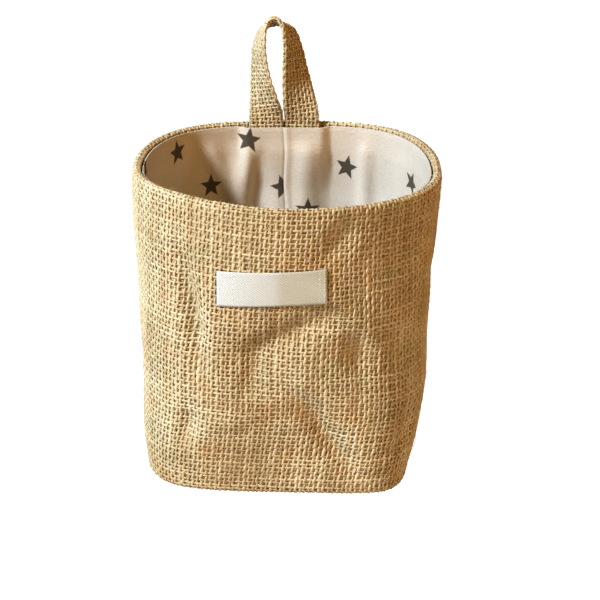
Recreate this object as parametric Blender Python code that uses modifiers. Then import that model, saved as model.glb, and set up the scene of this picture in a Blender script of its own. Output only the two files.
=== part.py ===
"""Small jute storage bag, standing open, with a cloth lining, a hanging loop and a blank label.

Run it with: blender --background --python part.py
Lengths in the tables and constants are millimetres; the meshes are made in metres, with +Z up.
The bag rests on its flat base at z = 0, its front faces -Y and the hanging loop is at its back.
The tables measure from the middle of the mouth. The meshes' origin is the middle of the whole
bag, which the loop reaches behind.
Every sheet is built on one wall surface. A place on it is a share of the way round, from the
back seam, past the right side (+X), and a height.
"""

import math
from collections import namedtuple

import bmesh
import bpy
import numpy as np

MM = 0.001
COLLECTION = "hanging_storage_bag"
# The whole bag's middle, seen from the middle of the mouth
MIDDLE_X = -0.1
MIDDLE_Y = 5.7

# Cloth of the bag
AROUND = 56
GIRTH = 472.0
RIM_HEIGHT = 147.0
JUTE_THICK = 1.5
LINING_THICK = 1.0
# Room between two sheets where they are sewn together, and where the lining hangs free
GAP = 0.35
LINING_ROOM = 1.0
# The lining moves in to pass the hem: where that starts below the rim, and over what height
HEM_ROOM_BELOW_RIM = 34.0
HEM_ROOM_RISE = 20.0

# Bottom edge, rolled rim and the hem turned in behind the lining
BASE_EDGE_RADIUS = 4.0
RIM_ROLL_RADIUS = 2.2
HEM_SHOWN = 0.8
HEM_DEPTH = 9.0
WALL_STEPS = 14
BASE_RINGS = (0.35, 0.75)
OUTLINE_POINTS = 720
# The creases die out over these heights at the base and at the rim
CREASE_FADE_BASE = 12.0
CREASE_FADE_RIM = 14.0

# Hanging loop: one band, both ends sewn in side by side at the middle of the back
LOOP_WIDTH = 17.6
LOOP_THICK = 2.4
LOOP_STEPS = 44
LOOP_ACROSS = 3
LOOP_TUCK = 6.9
LOOP_FLAT = 5.0
LOOP_MIDDLE_X = -2.0
LOOP_LEGS_GAP = 0.5
# The two ends are flat: how far each turns, and comes forward, to follow the rim's curve
LOOP_END_TURN = 2.5
LOOP_END_FORWARD = 0.9
# The lining stands in over the ends: how far past them it reaches, and over what width and
# height it rises
BULGE_MARGIN = 14.0
BULGE_FADE = 8.0
BULGE_BELOW_RIM = 26.0
BULGE_RISE = 12.0

# Label: a short tape sewn on by its two ends, a little left of the middle of the front
LABEL_LENGTH = 51.5
LABEL_WIDTH = 16.6
LABEL_THICK = 1.0
LABEL_GAP = 0.6
LABEL_MIDDLE_ALONG = -6.0
LABEL_MIDDLE_HEIGHT = 108.6
LABEL_RISE = 3.0
LABEL_STEPS = 14
LABEL_ACROSS = 5

# Colours, as linear red, green and blue
JUTE_COLOUR = (0.55, 0.38, 0.20)
LINING_COLOUR = (0.72, 0.67, 0.57)
LABEL_COLOUR = (0.83, 0.80, 0.72)

# Plan of the wall at a few heights: how far it reaches to each side of the mouth's middle.
# Square says how boxed the corners are: 2 is an ellipse, 6 is nearly a box. Turn is in degrees.
PLAN_COLUMNS = "height left right front back square_left square_right square_back turn"
Plan = namedtuple("Plan", PLAN_COLUMNS)
PLANS = (
    Plan(0, 68.5, 61.0, 63.5, 60.0, 3.6, 7.0, 4.6, -3.5),
    Plan(20, 70.3, 65.0, 65.0, 62.0, 3.5, 5.4, 4.2, -3.0),
    Plan(45, 71.4, 68.6, 67.0, 64.5, 3.1, 4.2, 3.6, -2.0),
    Plan(70, 72.8, 69.0, 69.0, 67.5, 2.7, 3.4, 3.0, -1.0),
    Plan(95, 73.2, 70.8, 70.5, 70.0, 2.3, 2.8, 2.7, -0.5),
    Plan(120, 75.0, 73.0, 71.0, 72.0, 2.0, 2.2, 2.65, 0.0),
    Plan(RIM_HEIGHT, 75.0, 75.0, 71.0, 73.5, 1.85, 2.0, 2.65, 0.0),
)

# How far the rim lies above or below RIM_HEIGHT, at even steps round it from the back seam
RIM_LIFTS = (1.0, 1.2, -0.6, -0.6, 0.4, 2.2, 0.9, 1.4)

# Soft creases: where their middle is, their half size, how they lean and how deep they go in.
# Along is from the middle of the front, positive to the right. A ridge has a negative depth.
Crease = namedtuple("Crease", "along height half_length half_width lean depth")
CREASES = (
    # Front, from the label down
    Crease(-6, 76, 20, 12, 12, 3.2),
    Crease(-20, 66, 13, 8, -20, 1.6),
    Crease(-6, 93, 13, 5, 70, 1.3),
    Crease(18, 74, 19, 8, 6, -1.8),
    Crease(36, 75, 13, 7, -8, 2.6),
    Crease(32, 92, 17, 5, -36, -1.2),
    Crease(24, 33, 17, 6, -34, 2.4),
    Crease(-46, 93, 19, 4.5, -20, 1.8),
    Crease(-51, 38, 9, 6, 0, 1.6),
    Crease(-18, 34, 14, 6, 56, -1.0),
    Crease(43, 14, 7, 7, 0, -0.9),
    Crease(25, 136, 10, 5, 35, 1.5),
    # Right side
    Crease(66, 36, 11, 6, 0, 1.7),
    Crease(64, 27, 12, 3.5, 64, 0.9),
    Crease(98, 99, 12, 6, 80, 1.0),
    Crease(118, 66, 26, 9, -10, 1.6),
    # Back
    Crease(160, 84, 28, 9, 14, 1.5),
    Crease(-215, 40, 20, 9, -20, 1.3),
    Crease(-170, 58, 26, 10, 10, 1.8),
    # Left side
    Crease(-95, 60, 26, 10, 8, 1.5),
    Crease(-128, 96, 24, 8, -14, 1.4),
)

# The loop's band from its left end, over the top, to its right end: the middle of the band,
# the direction of its slit-side edge in plan (0 is +X, -90 is -Y) and how much that edge rises
BandStation = namedtuple("BandStation", "x y z turn rise")
LOOP_TOP = (
    BandStation(-11.2, 66.9, 151.8, -8, 0),
    BandStation(-12.3, 67.8, 159.4, -33, 2),
    BandStation(-13.6, 69.3, 167.8, -50, 5),
    BandStation(-14.4, 71.0, 176.8, -62, 10),
    BandStation(-14.6, 72.6, 186.8, -70, 15),
    BandStation(-12.4, 74.4, 195.2, -78, 21),
    BandStation(-6.8, 75.4, 199.4, -96, 25),
    BandStation(-0.6, 74.4, 195.7, -114, 21),
    BandStation(2.2, 72.6, 187.3, -122, 15),
    BandStation(3.4, 71.0, 177.3, -134, 10),
    BandStation(4.6, 69.3, 167.8, -148, 5),
    BandStation(5.9, 67.8, 159.4, -162, 2),
    BandStation(7.1, 66.9, 151.8, -178, 0),
)


def clamp(value):
    """The value held between 0 and 1."""
    return min(max(value, 0.0), 1.0)


def ease(value):
    """A soft step from 0 to 1."""
    held = clamp(value)
    return held * held * (3 - 2 * held)


def smooth_table(rows, position):
    """Reads a table at a position between its rows, as a smooth curve through them all."""
    last = len(rows) - 1
    first = min(int(position), last - 1)
    part = position - first
    ends = [rows[min(max(first + step, 0), last)] for step in (-1, 0, 1, 2)]
    before, start, end, after = (np.array(row, dtype=float) for row in ends)
    bend = 2 * before - 5 * start + 4 * end - after
    twist = 3 * (start - end) + after - before
    return start + 0.5 * part * (end - before + part * (bend + part * twist))


def plan_at(height):
    """The wall's plan at a height between those of PLANS."""
    heights = [plan.height for plan in PLANS]
    position = np.interp(height, heights, range(len(PLANS)))
    return Plan(*smooth_table(PLANS, float(position)))


def outline(height):
    """The wall's outline at a height, from the back seam past +X: points and outward normals,
    at even steps of cloth."""
    plan = plan_at(height)
    angle = np.linspace(0.0, 2 * math.pi, OUTLINE_POINTS + 1)
    east, north = np.sin(angle), np.cos(angle)
    reach_x = np.where(east > 0, plan.right, plan.left)
    reach_y = np.where(north > 0, plan.back, plan.front)
    side = 0.5 + 0.5 * east
    front = 0.5 - 0.5 * north
    corner = plan.square_left + (plan.square_right - plan.square_left) * side
    square = plan.square_back + (corner - plan.square_back) * front
    reach = (np.abs(east / reach_x) ** square + np.abs(north / reach_y) ** square) ** (-1 / square)
    points = np.stack([reach * east, reach * north], axis=1)
    steps = np.linalg.norm(np.diff(points, axis=0), axis=1)
    share = np.concatenate([[0.0], np.cumsum(steps)]) / steps.sum()
    even = np.linspace(0.0, 1.0, OUTLINE_POINTS + 1)
    even_points = np.stack([np.interp(even, share, points[:, i]) for i in (0, 1)], axis=1)
    loop = even_points[:-1]
    turn = math.radians(plan.turn)
    spin = np.array([[math.cos(turn), math.sin(turn)], [-math.sin(turn), math.cos(turn)]])
    loop = loop @ spin
    near = OUTLINE_POINTS // 180
    ahead = np.roll(loop, -near, axis=0) - np.roll(loop, near, axis=0)
    ahead /= np.linalg.norm(ahead, axis=1)[:, None]
    normals = np.stack([-ahead[:, 1], ahead[:, 0]], axis=1)
    return loop, normals


OUTLINES = {}


def outline_at(share, height):
    """One point of the outline and its outward normal."""
    key = round(min(max(height, 0.0), RIM_HEIGHT), 2)
    if key not in OUTLINES:
        OUTLINES[key] = outline(key)
    points, normals = OUTLINES[key]
    place = (share % 1.0) * len(points)
    first = int(place) % len(points)
    second = (first + 1) % len(points)
    part = place - int(place)
    return (
        points[first] * (1 - part) + points[second] * part,
        normals[first] * (1 - part) + normals[second] * part,
    )


def crease_depth(share, height):
    """How far the soft creases push the wall in."""
    depth = 0.0
    for crease in CREASES:
        along = (0.5 - share) * GIRTH - crease.along
        along -= GIRTH * round(along / GIRTH)
        up = height - crease.height
        lean = math.radians(crease.lean)
        across_it = along * math.cos(lean) - up * math.sin(lean)
        along_it = along * math.sin(lean) + up * math.cos(lean)
        far = (across_it / crease.half_width) ** 2 + (along_it / crease.half_length) ** 2
        depth += crease.depth * math.exp(-far)
    near_base = clamp(height / CREASE_FADE_BASE)
    near_rim = clamp((RIM_HEIGHT - height) / CREASE_FADE_RIM)
    return depth * near_base * near_rim


def rim_lift(share):
    """How far the rim lies above or below RIM_HEIGHT."""
    turn = (share % 1.0) * len(RIM_LIFTS)
    ring = RIM_LIFTS[-1:] + RIM_LIFTS + RIM_LIFTS[:2]
    rows = [(lift,) for lift in ring]
    return float(smooth_table(rows, turn + 1)[0])


def to_metres(east, north, height):
    """A point measured from the mouth's middle, in the meshes' frame."""
    return (east - MIDDLE_X) * MM, (north - MIDDLE_Y) * MM, height * MM


def wall_point(share, height, inset, rise=0.0):
    """A point inside the wall's outer face by inset, and above the height by rise."""
    point, normal = outline_at(share, height)
    depth = inset + crease_depth(share, height)
    lifted = rim_lift(share) * clamp(height / RIM_HEIGHT) ** 3
    east, north = point - normal * depth
    return to_metres(east, north, height + rise + lifted)


def base_point(share, scale, inset, rise):
    """A point of a flat base whose edge is inset from the wall's foot."""
    point, normal = outline_at(share, 0.0)
    east, north = (point - normal * inset) * scale
    return to_metres(east, north, rise)


def roll_points(steps, start, end):
    """Sine and cosine of even steps of a rolled edge."""
    for step in range(steps + 1):
        angle = math.radians(start + (end - start) * step / steps)
        yield math.sin(angle), math.cos(angle)


def wall_heights():
    """Heights of the wall's rings between the base edge and the rim roll."""
    low = BASE_EDGE_RADIUS
    high = RIM_HEIGHT - RIM_ROLL_RADIUS
    return [low + (high - low) * step / WALL_STEPS for step in range(1, WALL_STEPS)]


def shell_rings(share):
    """The jute's outer face at one place round it: base, wall, rolled rim and hem."""
    radius = BASE_EDGE_RADIUS
    points = [base_point(share, scale, radius, 0.0) for scale in BASE_RINGS]
    for sine, cosine in roll_points(2, 0, 90):
        points.append(wall_point(share, 0.0, radius * (1 - sine), radius * (1 - cosine)))
    points += [wall_point(share, height, 0.0) for height in wall_heights()]
    top = RIM_HEIGHT - RIM_ROLL_RADIUS
    for sine, cosine in roll_points(4, 0, 180):
        points.append(wall_point(share, top, RIM_ROLL_RADIUS * (1 - cosine), RIM_ROLL_RADIUS * sine))
    for drop in (HEM_DEPTH / 2, HEM_DEPTH):
        points.append(wall_point(share, top - drop, 2 * RIM_ROLL_RADIUS))
    return points


def loop_bulge(share, height):
    """How far the lining stands in over the loop's ends, which are sewn in behind it."""
    far = abs((share + 0.5) % 1.0 - 0.5 - LOOP_MIDDLE_X / GIRTH) * GIRTH
    beside = ease((LOOP_WIDTH + BULGE_MARGIN - far) / BULGE_FADE)
    above = ease((height - RIM_HEIGHT + BULGE_BELOW_RIM) / BULGE_RISE)
    return (LOOP_THICK + 3 * GAP) * beside * above


def lining_inset(share, height):
    """How far the lining's outer face hangs inside the jute's outer face."""
    hem_room = 2 * RIM_ROLL_RADIUS + 2 * GAP
    free_room = JUTE_THICK + LINING_ROOM
    near_rim = clamp((height - RIM_HEIGHT + HEM_ROOM_BELOW_RIM) / HEM_ROOM_RISE)
    return free_room + (hem_room - free_room) * near_rim + loop_bulge(share, height)


def lining_rings(share):
    """The lining's outer face at one place round it, from the base up to its edge."""
    floor = JUTE_THICK + GAP
    foot = JUTE_THICK + LINING_ROOM
    radius = BASE_EDGE_RADIUS
    points = [base_point(share, scale, foot + radius, floor) for scale in BASE_RINGS]
    for sine, cosine in roll_points(2, 0, 90):
        inset = foot + radius * (1 - sine)
        points.append(wall_point(share, 0.0, inset, floor + radius * (1 - cosine)))
    top = RIM_HEIGHT - RIM_ROLL_RADIUS - HEM_SHOWN
    heights = [height for height in wall_heights() if height < top - HEM_SHOWN] + [top]
    points += [wall_point(share, height, lining_inset(share, height)) for height in heights]
    return points


def material(name, colour, roughness):
    """A plain Principled material."""
    made = bpy.data.materials.new(name)
    made.use_nodes = True
    shader = made.node_tree.nodes["Principled BSDF"]
    shader.inputs["Base Color"].default_value = (*colour, 1.0)
    shader.inputs["Roughness"].default_value = roughness
    shader.inputs["Metallic"].default_value = 0.0
    made.diffuse_color = (*colour, 1.0)
    return made


def add_object(name, mesh, cloth, collection):
    """Puts a mesh in the scene with its material."""
    made = bpy.data.objects.new(name, mesh)
    mesh.materials.append(cloth)
    mesh.shade_smooth()
    mesh.set_sharp_from_angle(angle=math.radians(50))
    collection.objects.link(made)
    return made


def solidify(made, thickness, offset):
    """Gives a sheet its thickness; offset -1 grows it inward from its outer face."""
    thick = made.modifiers.new("Thickness", "SOLIDIFY")
    thick.thickness = thickness * MM
    thick.offset = offset
    thick.use_even_offset = True
    return thick


def pouch(name, rings_at, thickness, cloth, collection):
    """An open pouch: a sphere primitive without its top, each of whose rings is moved to the
    cloth. Ring 0 is the middle of the base."""
    count = len(rings_at(0.0))
    cage = bmesh.new()
    bmesh.ops.create_uvsphere(cage, u_segments=AROUND, v_segments=count + 1, radius=1.0)
    top = max(cage.verts, key=lambda vert: vert.co.z)
    bmesh.ops.delete(cage, geom=[top], context="VERTS")
    columns = [rings_at(step / AROUND) for step in range(AROUND)]
    for vert in cage.verts:
        ring = round((0.5 + math.asin(2 * clamp(0.5 + vert.co.z / 2) - 1) / math.pi) * (count + 1))
        if ring == 0:
            vert.co = (*to_metres(0.0, 0.0, 0.0)[:2], columns[0][0][2])
            continue
        turn = math.atan2(vert.co.x, vert.co.y) / (2 * math.pi) * AROUND
        vert.co = columns[round(turn) % AROUND][ring - 1]
    bmesh.ops.recalc_face_normals(cage, faces=cage.faces)
    mesh = bpy.data.meshes.new(name)
    cage.to_mesh(mesh)
    cage.free()
    made = add_object(name, mesh, cloth, collection)
    solidify(made, thickness, -1.0)
    return made


def strip(name, point_at, steps_long, steps_wide, thickness, offset, cloth, collection):
    """A strip: a grid primitive whose points are moved to point_at(share long, share wide)."""
    cage = bmesh.new()
    bmesh.ops.create_grid(cage, x_segments=steps_long, y_segments=steps_wide, size=1.0)
    for vert in cage.verts:
        vert.co = point_at((vert.co.x + 1) / 2, (vert.co.y + 1) / 2)
    mesh = bpy.data.meshes.new(name)
    cage.to_mesh(mesh)
    cage.free()
    made = add_object(name, mesh, cloth, collection)
    solidify(made, thickness, offset)
    return made


def loop_stations():
    """The loop's stations, with both ends led down inside the hem."""
    leg = (LOOP_WIDTH + LOOP_LEGS_GAP) / 2
    end_y = PLANS[-1].back - 2 * RIM_ROLL_RADIUS - GAP - LOOP_THICK / 2 - LOOP_END_FORWARD
    low = RIM_HEIGHT - RIM_ROLL_RADIUS - HEM_SHOWN - LOOP_TUCK
    ends = []
    for side, turn in ((-1, LOOP_END_TURN), (1, -180 - LOOP_END_TURN)):
        x = LOOP_MIDDLE_X + side * leg
        ends.append([BandStation(x, end_y, z, turn, 0) for z in (low, low + LOOP_FLAT)])
    return (*ends[0], *LOOP_TOP, *reversed(ends[1]))


def loop_point(share_long, share_wide):
    """A point of the loop's band, on its middle layer."""
    stations = loop_stations()
    place = share_long * (len(stations) - 1)
    here = BandStation(*smooth_table(stations, place))
    ahead = smooth_table(stations, min(place + 0.02, len(stations) - 1))[:3]
    behind = smooth_table(stations, max(place - 0.02, 0.0))[:3]
    forward = (ahead - behind) / np.linalg.norm(ahead - behind)
    turn, rise = math.radians(here.turn), math.radians(here.rise)
    flat = math.cos(rise)
    edge = np.array([math.cos(turn) * flat, math.sin(turn) * flat, math.sin(rise)])
    edge -= forward * edge.dot(forward)
    edge /= np.linalg.norm(edge)
    middle = np.array([here.x, here.y, here.z])
    return to_metres(*(middle + edge * LOOP_WIDTH * (share_wide - 0.5)))


def label_point(share_long, share_wide):
    """A point of the label's inner face, just off the front wall."""
    along = LABEL_MIDDLE_ALONG + LABEL_LENGTH * (share_long - 0.5)
    height = LABEL_MIDDLE_HEIGHT + LABEL_WIDTH * (share_wide - 0.5)
    height = height + LABEL_RISE * (share_long - 0.5)
    return wall_point(0.5 - along / GIRTH, height, -LABEL_GAP)


def main():
    for old in list(bpy.data.objects):
        bpy.data.objects.remove(old, do_unlink=True)
    collection = bpy.data.collections.new(COLLECTION)
    bpy.context.scene.collection.children.link(collection)
    jute = material("jute", JUTE_COLOUR, 0.9)
    loop_jute = material("loop_jute", JUTE_COLOUR, 0.9)
    linen = material("lining_cloth", LINING_COLOUR, 0.85)
    tape = material("label_tape", LABEL_COLOUR, 0.6)
    pouch("jute_shell", shell_rings, JUTE_THICK, jute, collection)
    pouch("lining", lining_rings, LINING_THICK, linen, collection)
    strip("hanging_loop", loop_point, LOOP_STEPS, LOOP_ACROSS, LOOP_THICK, 0.0, loop_jute, collection)
    strip("label", label_point, LABEL_STEPS, LABEL_ACROSS, LABEL_THICK, 1.0, tape, collection)


main()
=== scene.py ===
"""Looks of a small jute storage bag that stands open.

The jute is woven from its own yarns over a brown ground cloth. Inside hangs a printed lining,
and the bag has a hanging loop at the back and a bare label at the front.
Tables and constants are millimetres; the meshes are made in metres, with +Z up. The bag's front
faces -Y. A place on the cloth is a share of the way round it, from the middle of the back past
the right side (+X), with a height or a run up the cloth.
"""

import math
from collections import namedtuple
from functools import partial

import bmesh
import bpy
import numpy as np
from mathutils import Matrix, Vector


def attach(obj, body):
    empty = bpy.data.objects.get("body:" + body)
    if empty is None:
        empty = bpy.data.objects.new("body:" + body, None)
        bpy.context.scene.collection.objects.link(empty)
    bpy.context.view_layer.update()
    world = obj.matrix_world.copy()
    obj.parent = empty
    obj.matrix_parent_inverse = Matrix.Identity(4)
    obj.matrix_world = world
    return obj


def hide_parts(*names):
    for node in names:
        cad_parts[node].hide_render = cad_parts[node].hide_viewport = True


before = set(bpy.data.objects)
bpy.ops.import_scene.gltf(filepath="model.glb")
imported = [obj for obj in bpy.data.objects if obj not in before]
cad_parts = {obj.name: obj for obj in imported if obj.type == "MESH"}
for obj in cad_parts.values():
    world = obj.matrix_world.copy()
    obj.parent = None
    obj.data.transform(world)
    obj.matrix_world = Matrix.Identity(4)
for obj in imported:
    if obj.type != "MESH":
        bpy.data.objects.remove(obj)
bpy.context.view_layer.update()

bl_info = {
    "name": "Jute Storage Bag",
    "version": (1, 0, 0),
    "blender": (4, 5, 0),
    "location": "3D View > Sidebar > Bag",
    "description": "Builds a small lined jute storage bag with a hanging loop",
    "category": "Object",
}

MM = 0.001
TURN = 2 * math.pi
BAKE_MAP = "OFBake"
CLOTH_MAP = "Cloth"
PRINT_MAP = "Print"
# The whole bag's middle, seen from the middle of the mouth
MIDDLE_X = -0.1
MIDDLE_Y = 5.7

# Cloth of the bag, as in its construction
GIRTH = 472.0
RIM_HEIGHT = 147.0
JUTE_THICK = 1.5
GAP = 0.35
BASE_EDGE_RADIUS = 4.0
RIM_ROLL_RADIUS = 2.2
FOOT_HEIGHT = 14.0
HEM_SHOWN = 0.8
OUTLINE_POINTS = 720
CREASE_FADE_BASE = 12.0
CREASE_FADE_RIM = 14.0

# Hanging loop: its band, how far its ends are tucked in and turned, and its length and girth
LOOP_WIDTH = 17.6
LOOP_THICK = 2.4
LOOP_TUCK = 6.9
LOOP_FLAT = 5.0
LOOP_MIDDLE_X = -2.0
LOOP_LEGS_GAP = 0.5
LOOP_END_TURN = 2.5
LOOP_END_FORWARD = 0.9
LOOP_LENGTH = 150.0
LOOP_ROUND = 37.9

# Label: its tape, how far it stands off the jute and its place on the front. Rise is how much
# higher its right end is.
LABEL_LENGTH = 51.5
LABEL_WIDTH = 16.6
LABEL_THICK = 0.45
LABEL_GAP = 0.55
LABEL_MIDDLE_ALONG = -6.0
LABEL_MIDDLE_HEIGHT = 108.6
LABEL_RISE = 3.0
LABEL_STEPS = (52, 17)

# Plan of the wall at a few heights: how far it reaches to each side of the mouth's middle.
# Square says how boxed the corners are: 2 is an ellipse, 6 is nearly a box. Turn is in degrees.
PLAN_COLUMNS = "height left right front back square_left square_right square_back turn"
Plan = namedtuple("Plan", PLAN_COLUMNS)
PLANS = (
    Plan(0, 68.5, 61.0, 63.5, 60.0, 3.6, 7.0, 4.6, -3.5),
    Plan(20, 70.3, 65.0, 65.0, 62.0, 3.5, 5.4, 4.2, -3.0),
    Plan(45, 71.4, 68.6, 67.0, 64.5, 3.1, 4.2, 3.6, -2.0),
    Plan(70, 72.8, 69.0, 69.0, 67.5, 2.7, 3.4, 3.0, -1.0),
    Plan(95, 73.2, 70.8, 70.5, 70.0, 2.3, 2.8, 2.7, -0.5),
    Plan(120, 75.0, 73.0, 71.0, 72.0, 2.0, 2.2, 2.65, 0.0),
    Plan(RIM_HEIGHT, 75.0, 75.0, 71.0, 73.5, 1.85, 2.0, 2.65, 0.0),
)

# How far the rim lies above or below RIM_HEIGHT, at even steps round it from the back seam
RIM_LIFTS = (1.0, 1.2, -0.6, -0.6, 0.4, 2.2, 0.9, 1.4)

# Soft creases: where their middle is, their half size, how they lean and how deep they go in.
# Along is from the middle of the front, positive to the right. A ridge has a negative depth.
Crease = namedtuple("Crease", "along height half_length half_width lean depth")
JUTE_CREASES = (
    # Front, from the label down
    Crease(-45, 92, 26, 4.8, -15, 5.6),
    Crease(2, 85, 26, 6.5, 64, 3.6),
    Crease(-13, 66, 14, 6, 10, 3.4),
    Crease(10, 68, 18, 11, 14, -2.2),
    Crease(32, 94, 22, 6, -42, -2.4),
    Crease(36, 75, 13, 6, -14, 3.2),
    Crease(25, 30, 30, 5.5, -38, 5.4),
    Crease(-45, 35, 10, 5, 0, 4.0),
    Crease(-22, 40, 16, 6, 62, -1.8),
    Crease(43, 14, 7, 7, 0, -0.9),
    Crease(26, 136, 15, 6, 28, 2.6),
    Crease(-4, 130, 20, 8, 80, -1.0),
    # Right side
    Crease(66, 36, 11, 6, 0, 1.7),
    Crease(64, 27, 12, 3.5, 64, 0.9),
    Crease(98, 99, 12, 6, 80, 1.0),
    Crease(118, 66, 26, 9, -10, 1.6),
    # Back
    Crease(160, 84, 28, 9, 14, 1.5),
    Crease(-215, 40, 20, 9, -20, 1.3),
    Crease(-170, 58, 26, 10, 10, 1.8),
    # Left side
    Crease(-95, 60, 26, 10, 8, 1.5),
    Crease(-128, 96, 24, 8, -14, 1.4),
)
# The lining's own folds; along is from the middle of the back, positive to the right
LINING_FOLDS = (
    Crease(-26, 106, 26, 6.5, 4, 4.6),
    Crease(8, 98, 34, 8.5, 3, 6.4),
    Crease(-6, 96, 31, 7.5, 0, 4.8),
    Crease(11, 130, 13, 6.0, 0, 1.4),
    Crease(43, 114, 32, 4.2, 2, 2.8),
    Crease(-22, 126, 15, 5.0, 16, 1.4),
    Crease(-38, 126, 18, 5.0, -30, 2.4),
    Crease(-62, 116, 24, 5.0, 24, -1.8),
    Crease(70, 112, 30, 7.0, 6, 1.2),
    Crease(100, 100, 36, 9.0, -8, 1.4),
    Crease(-104, 96, 36, 9.0, 10, 1.4),
    Crease(150, 84, 34, 9.0, 14, 1.4),
    Crease(-150, 88, 34, 9.0, -12, 1.4),
    Crease(200, 80, 32, 9.0, 6, 1.4),
)

# The loop's band from its left end, over the top, to its right end: the middle of the band,
# the direction of its slit-side edge in plan (0 is +X, -90 is -Y) and how much that edge rises
BandStation = namedtuple("BandStation", "x y z turn rise")
LOOP_TOP = (
    BandStation(-11.2, 66.9, 151.8, -8, 0),
    BandStation(-12.3, 67.8, 159.4, -33, 2),
    BandStation(-13.6, 69.3, 167.8, -50, 5),
    BandStation(-14.4, 71.0, 176.8, -62, 10),
    BandStation(-14.6, 72.6, 186.8, -70, 15),
    BandStation(-12.4, 74.4, 195.2, -78, 21),
    BandStation(-6.8, 75.4, 199.4, -96, 25),
    BandStation(-0.6, 74.4, 195.7, -114, 21),
    BandStation(2.2, 72.6, 187.3, -122, 15),
    BandStation(3.4, 71.0, 177.3, -134, 10),
    BandStation(4.6, 69.3, 167.8, -148, 5),
    BandStation(5.9, 67.8, 159.4, -162, 2),
    BandStation(7.1, 66.9, 151.8, -178, 0),
)

# Yarns: half their width and thickness, how far they swing over and under, how deep their
# middle line lies in the cloth, how far they slant where they pass over, how much their
# width varies, and their tone and how much that varies
YarnKind = namedtuple("YarnKind", "half_width half_thick swing depth slant uneven tone tones")
UPRIGHT = YarnKind(0.66, 0.52, 0.26, 0.50, 0.26, 0.36, 0.54, 0.08)
# The level yarns have a lower tone than the upright ones as painted shade, since they lie deeper in the
# cloth
LEVEL = YarnKind(0.57, 0.42, 0.30, 0.60, 0.12, 0.38, 0.48, 0.10)
BASE_YARN = YarnKind(0.84, 0.40, 0.25, 0.75, 0.10, 0.20, 0.50, 0.15)
LOOP_LENGTHWISE = YarnKind(0.62, 0.48, 0.26, 0.46, 0.20, 0.34, 0.54, 0.08)
# The crosswise yarns have a lower tone than the lengthwise ones as painted shade, since they lie deeper
# in the band
LOOP_CROSSWISE = YarnKind(0.56, 0.40, 0.28, 0.54, 0.10, 0.34, 0.48, 0.10)
YARN_SIDES = 6
BASE_SIDES = 4
SHORTEST_YARN = 4
# How many points lie between changes of a yarn's width: slow ones, quick ones and slubs
YARN_STRIDES = (26, 5, 13)
SLUB_FROM = 0.6
# How far apart yarns lie on the cloth map
YARN_MAP_AWAY = 7.0
MERGE = 1e-7
FLOOR_CLEAR = 0.02
NORMAL_STEP = 0.4

# Weaves: how far the jute is woven down the hem and in under the base, how far yarns wander, in
# yarn pitches or, in the base, in millimetres, and how uneven the wall is
HEM_WOVEN = 5.0
BASE_OVERLAP = 1.2
WALL_DRIFT = 0.28
LOOP_DRIFT = 0.14
BASE_DRIFT = 0.3
WALL_UNEVEN = 0.22
# Strides over which yarns drift sideways and up, and over which the wall is uneven
SIDE_STRIDES = (34, 5)
UP_STRIDES = (44, 6)
WALL_STRIDES = (15, 6)
BASE_STRIDE = 24
# The grooves of the back seam and of the seam under the rim, and how far below the rim that is
Groove = namedtuple("Groove", "depth half_width")
BACK_SEAM = Groove(0.5, 1.3)
HEM_SEAM = Groove(0.4, 0.8)
HEM_SEAM_BELOW = 0.3
WALL_SEED, BASE_SEED, LOOP_SEED, STITCH_SEED, FIBRE_SEED, PRINT_SEED = 3, 5, 7, 11, 13, 17

# Ground cloth between the yarns
GROUND_DEPTH = 0.78
GROUND_THICK = 0.4
GROUND_AROUND = 120
GROUND_STEP = 2.7
LOOP_GROUND_DEPTH = 0.72
LOOP_GROUND_AROUND = 24
LOOP_GROUND_STEPS = 75

# Pouches: the rings of their base, the part of the bake map that it takes, its width there, and
# the place of its middle on the cloth map
BASE_SCALES = (0.12, 0.30, 0.50, 0.70, 0.86, 0.95)
BASE_MAP_SHARE = 0.28
BASE_MAP_WIDTH = 150.0
BASE_CLOTH_AWAY = (236.0, 74.0)

# Lining: how far inside the jute it hangs low down, and where the room for the hem begins
LINING_THICK = 0.7
LINING_ROOM = 1.0
LINING_SLACK = 1.0
HEM_ROOM_BELOW_RIM = 34.0
HEM_ROOM_RISE = 20.0
# Its top edge stands a little above its construction's, so that it shows inside the rim
LINING_LIFT = 1.3
LINING_TOP = RIM_HEIGHT - RIM_ROLL_RADIUS - HEM_SHOWN + LINING_LIFT
# The lip sewn against the hem: how far in it lies (negative is out) and how far down it reaches
LIP_DEPTH = -0.25
LIP_HEIGHT = 2.4
LIP_STEPS = 5
FOLD_FADE = 10.0
# The bulge over the loop's ends
BULGE_MARGIN = 7.5
BULGE_FADE = 6.0
BULGE_BELOW_RIM = 46.0
BULGE_RISE = 38.0
# The back seam: its groove, the ridge beside it and how it sways
LINING_SEAM_X = -2.0
LINING_SEAM = Groove(0.6, 0.7)
SEAM_RIDGE = Groove(0.4, 1.6)
SEAM_SWAY = 0.35
SEAM_SWAY_LENGTH = 31.0
# Steps round it, how much closer they are at the seam, and steps up it
LINING_AROUND = 220
LINING_CROWDING = 0.75
LINING_STEP = 2.0

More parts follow.
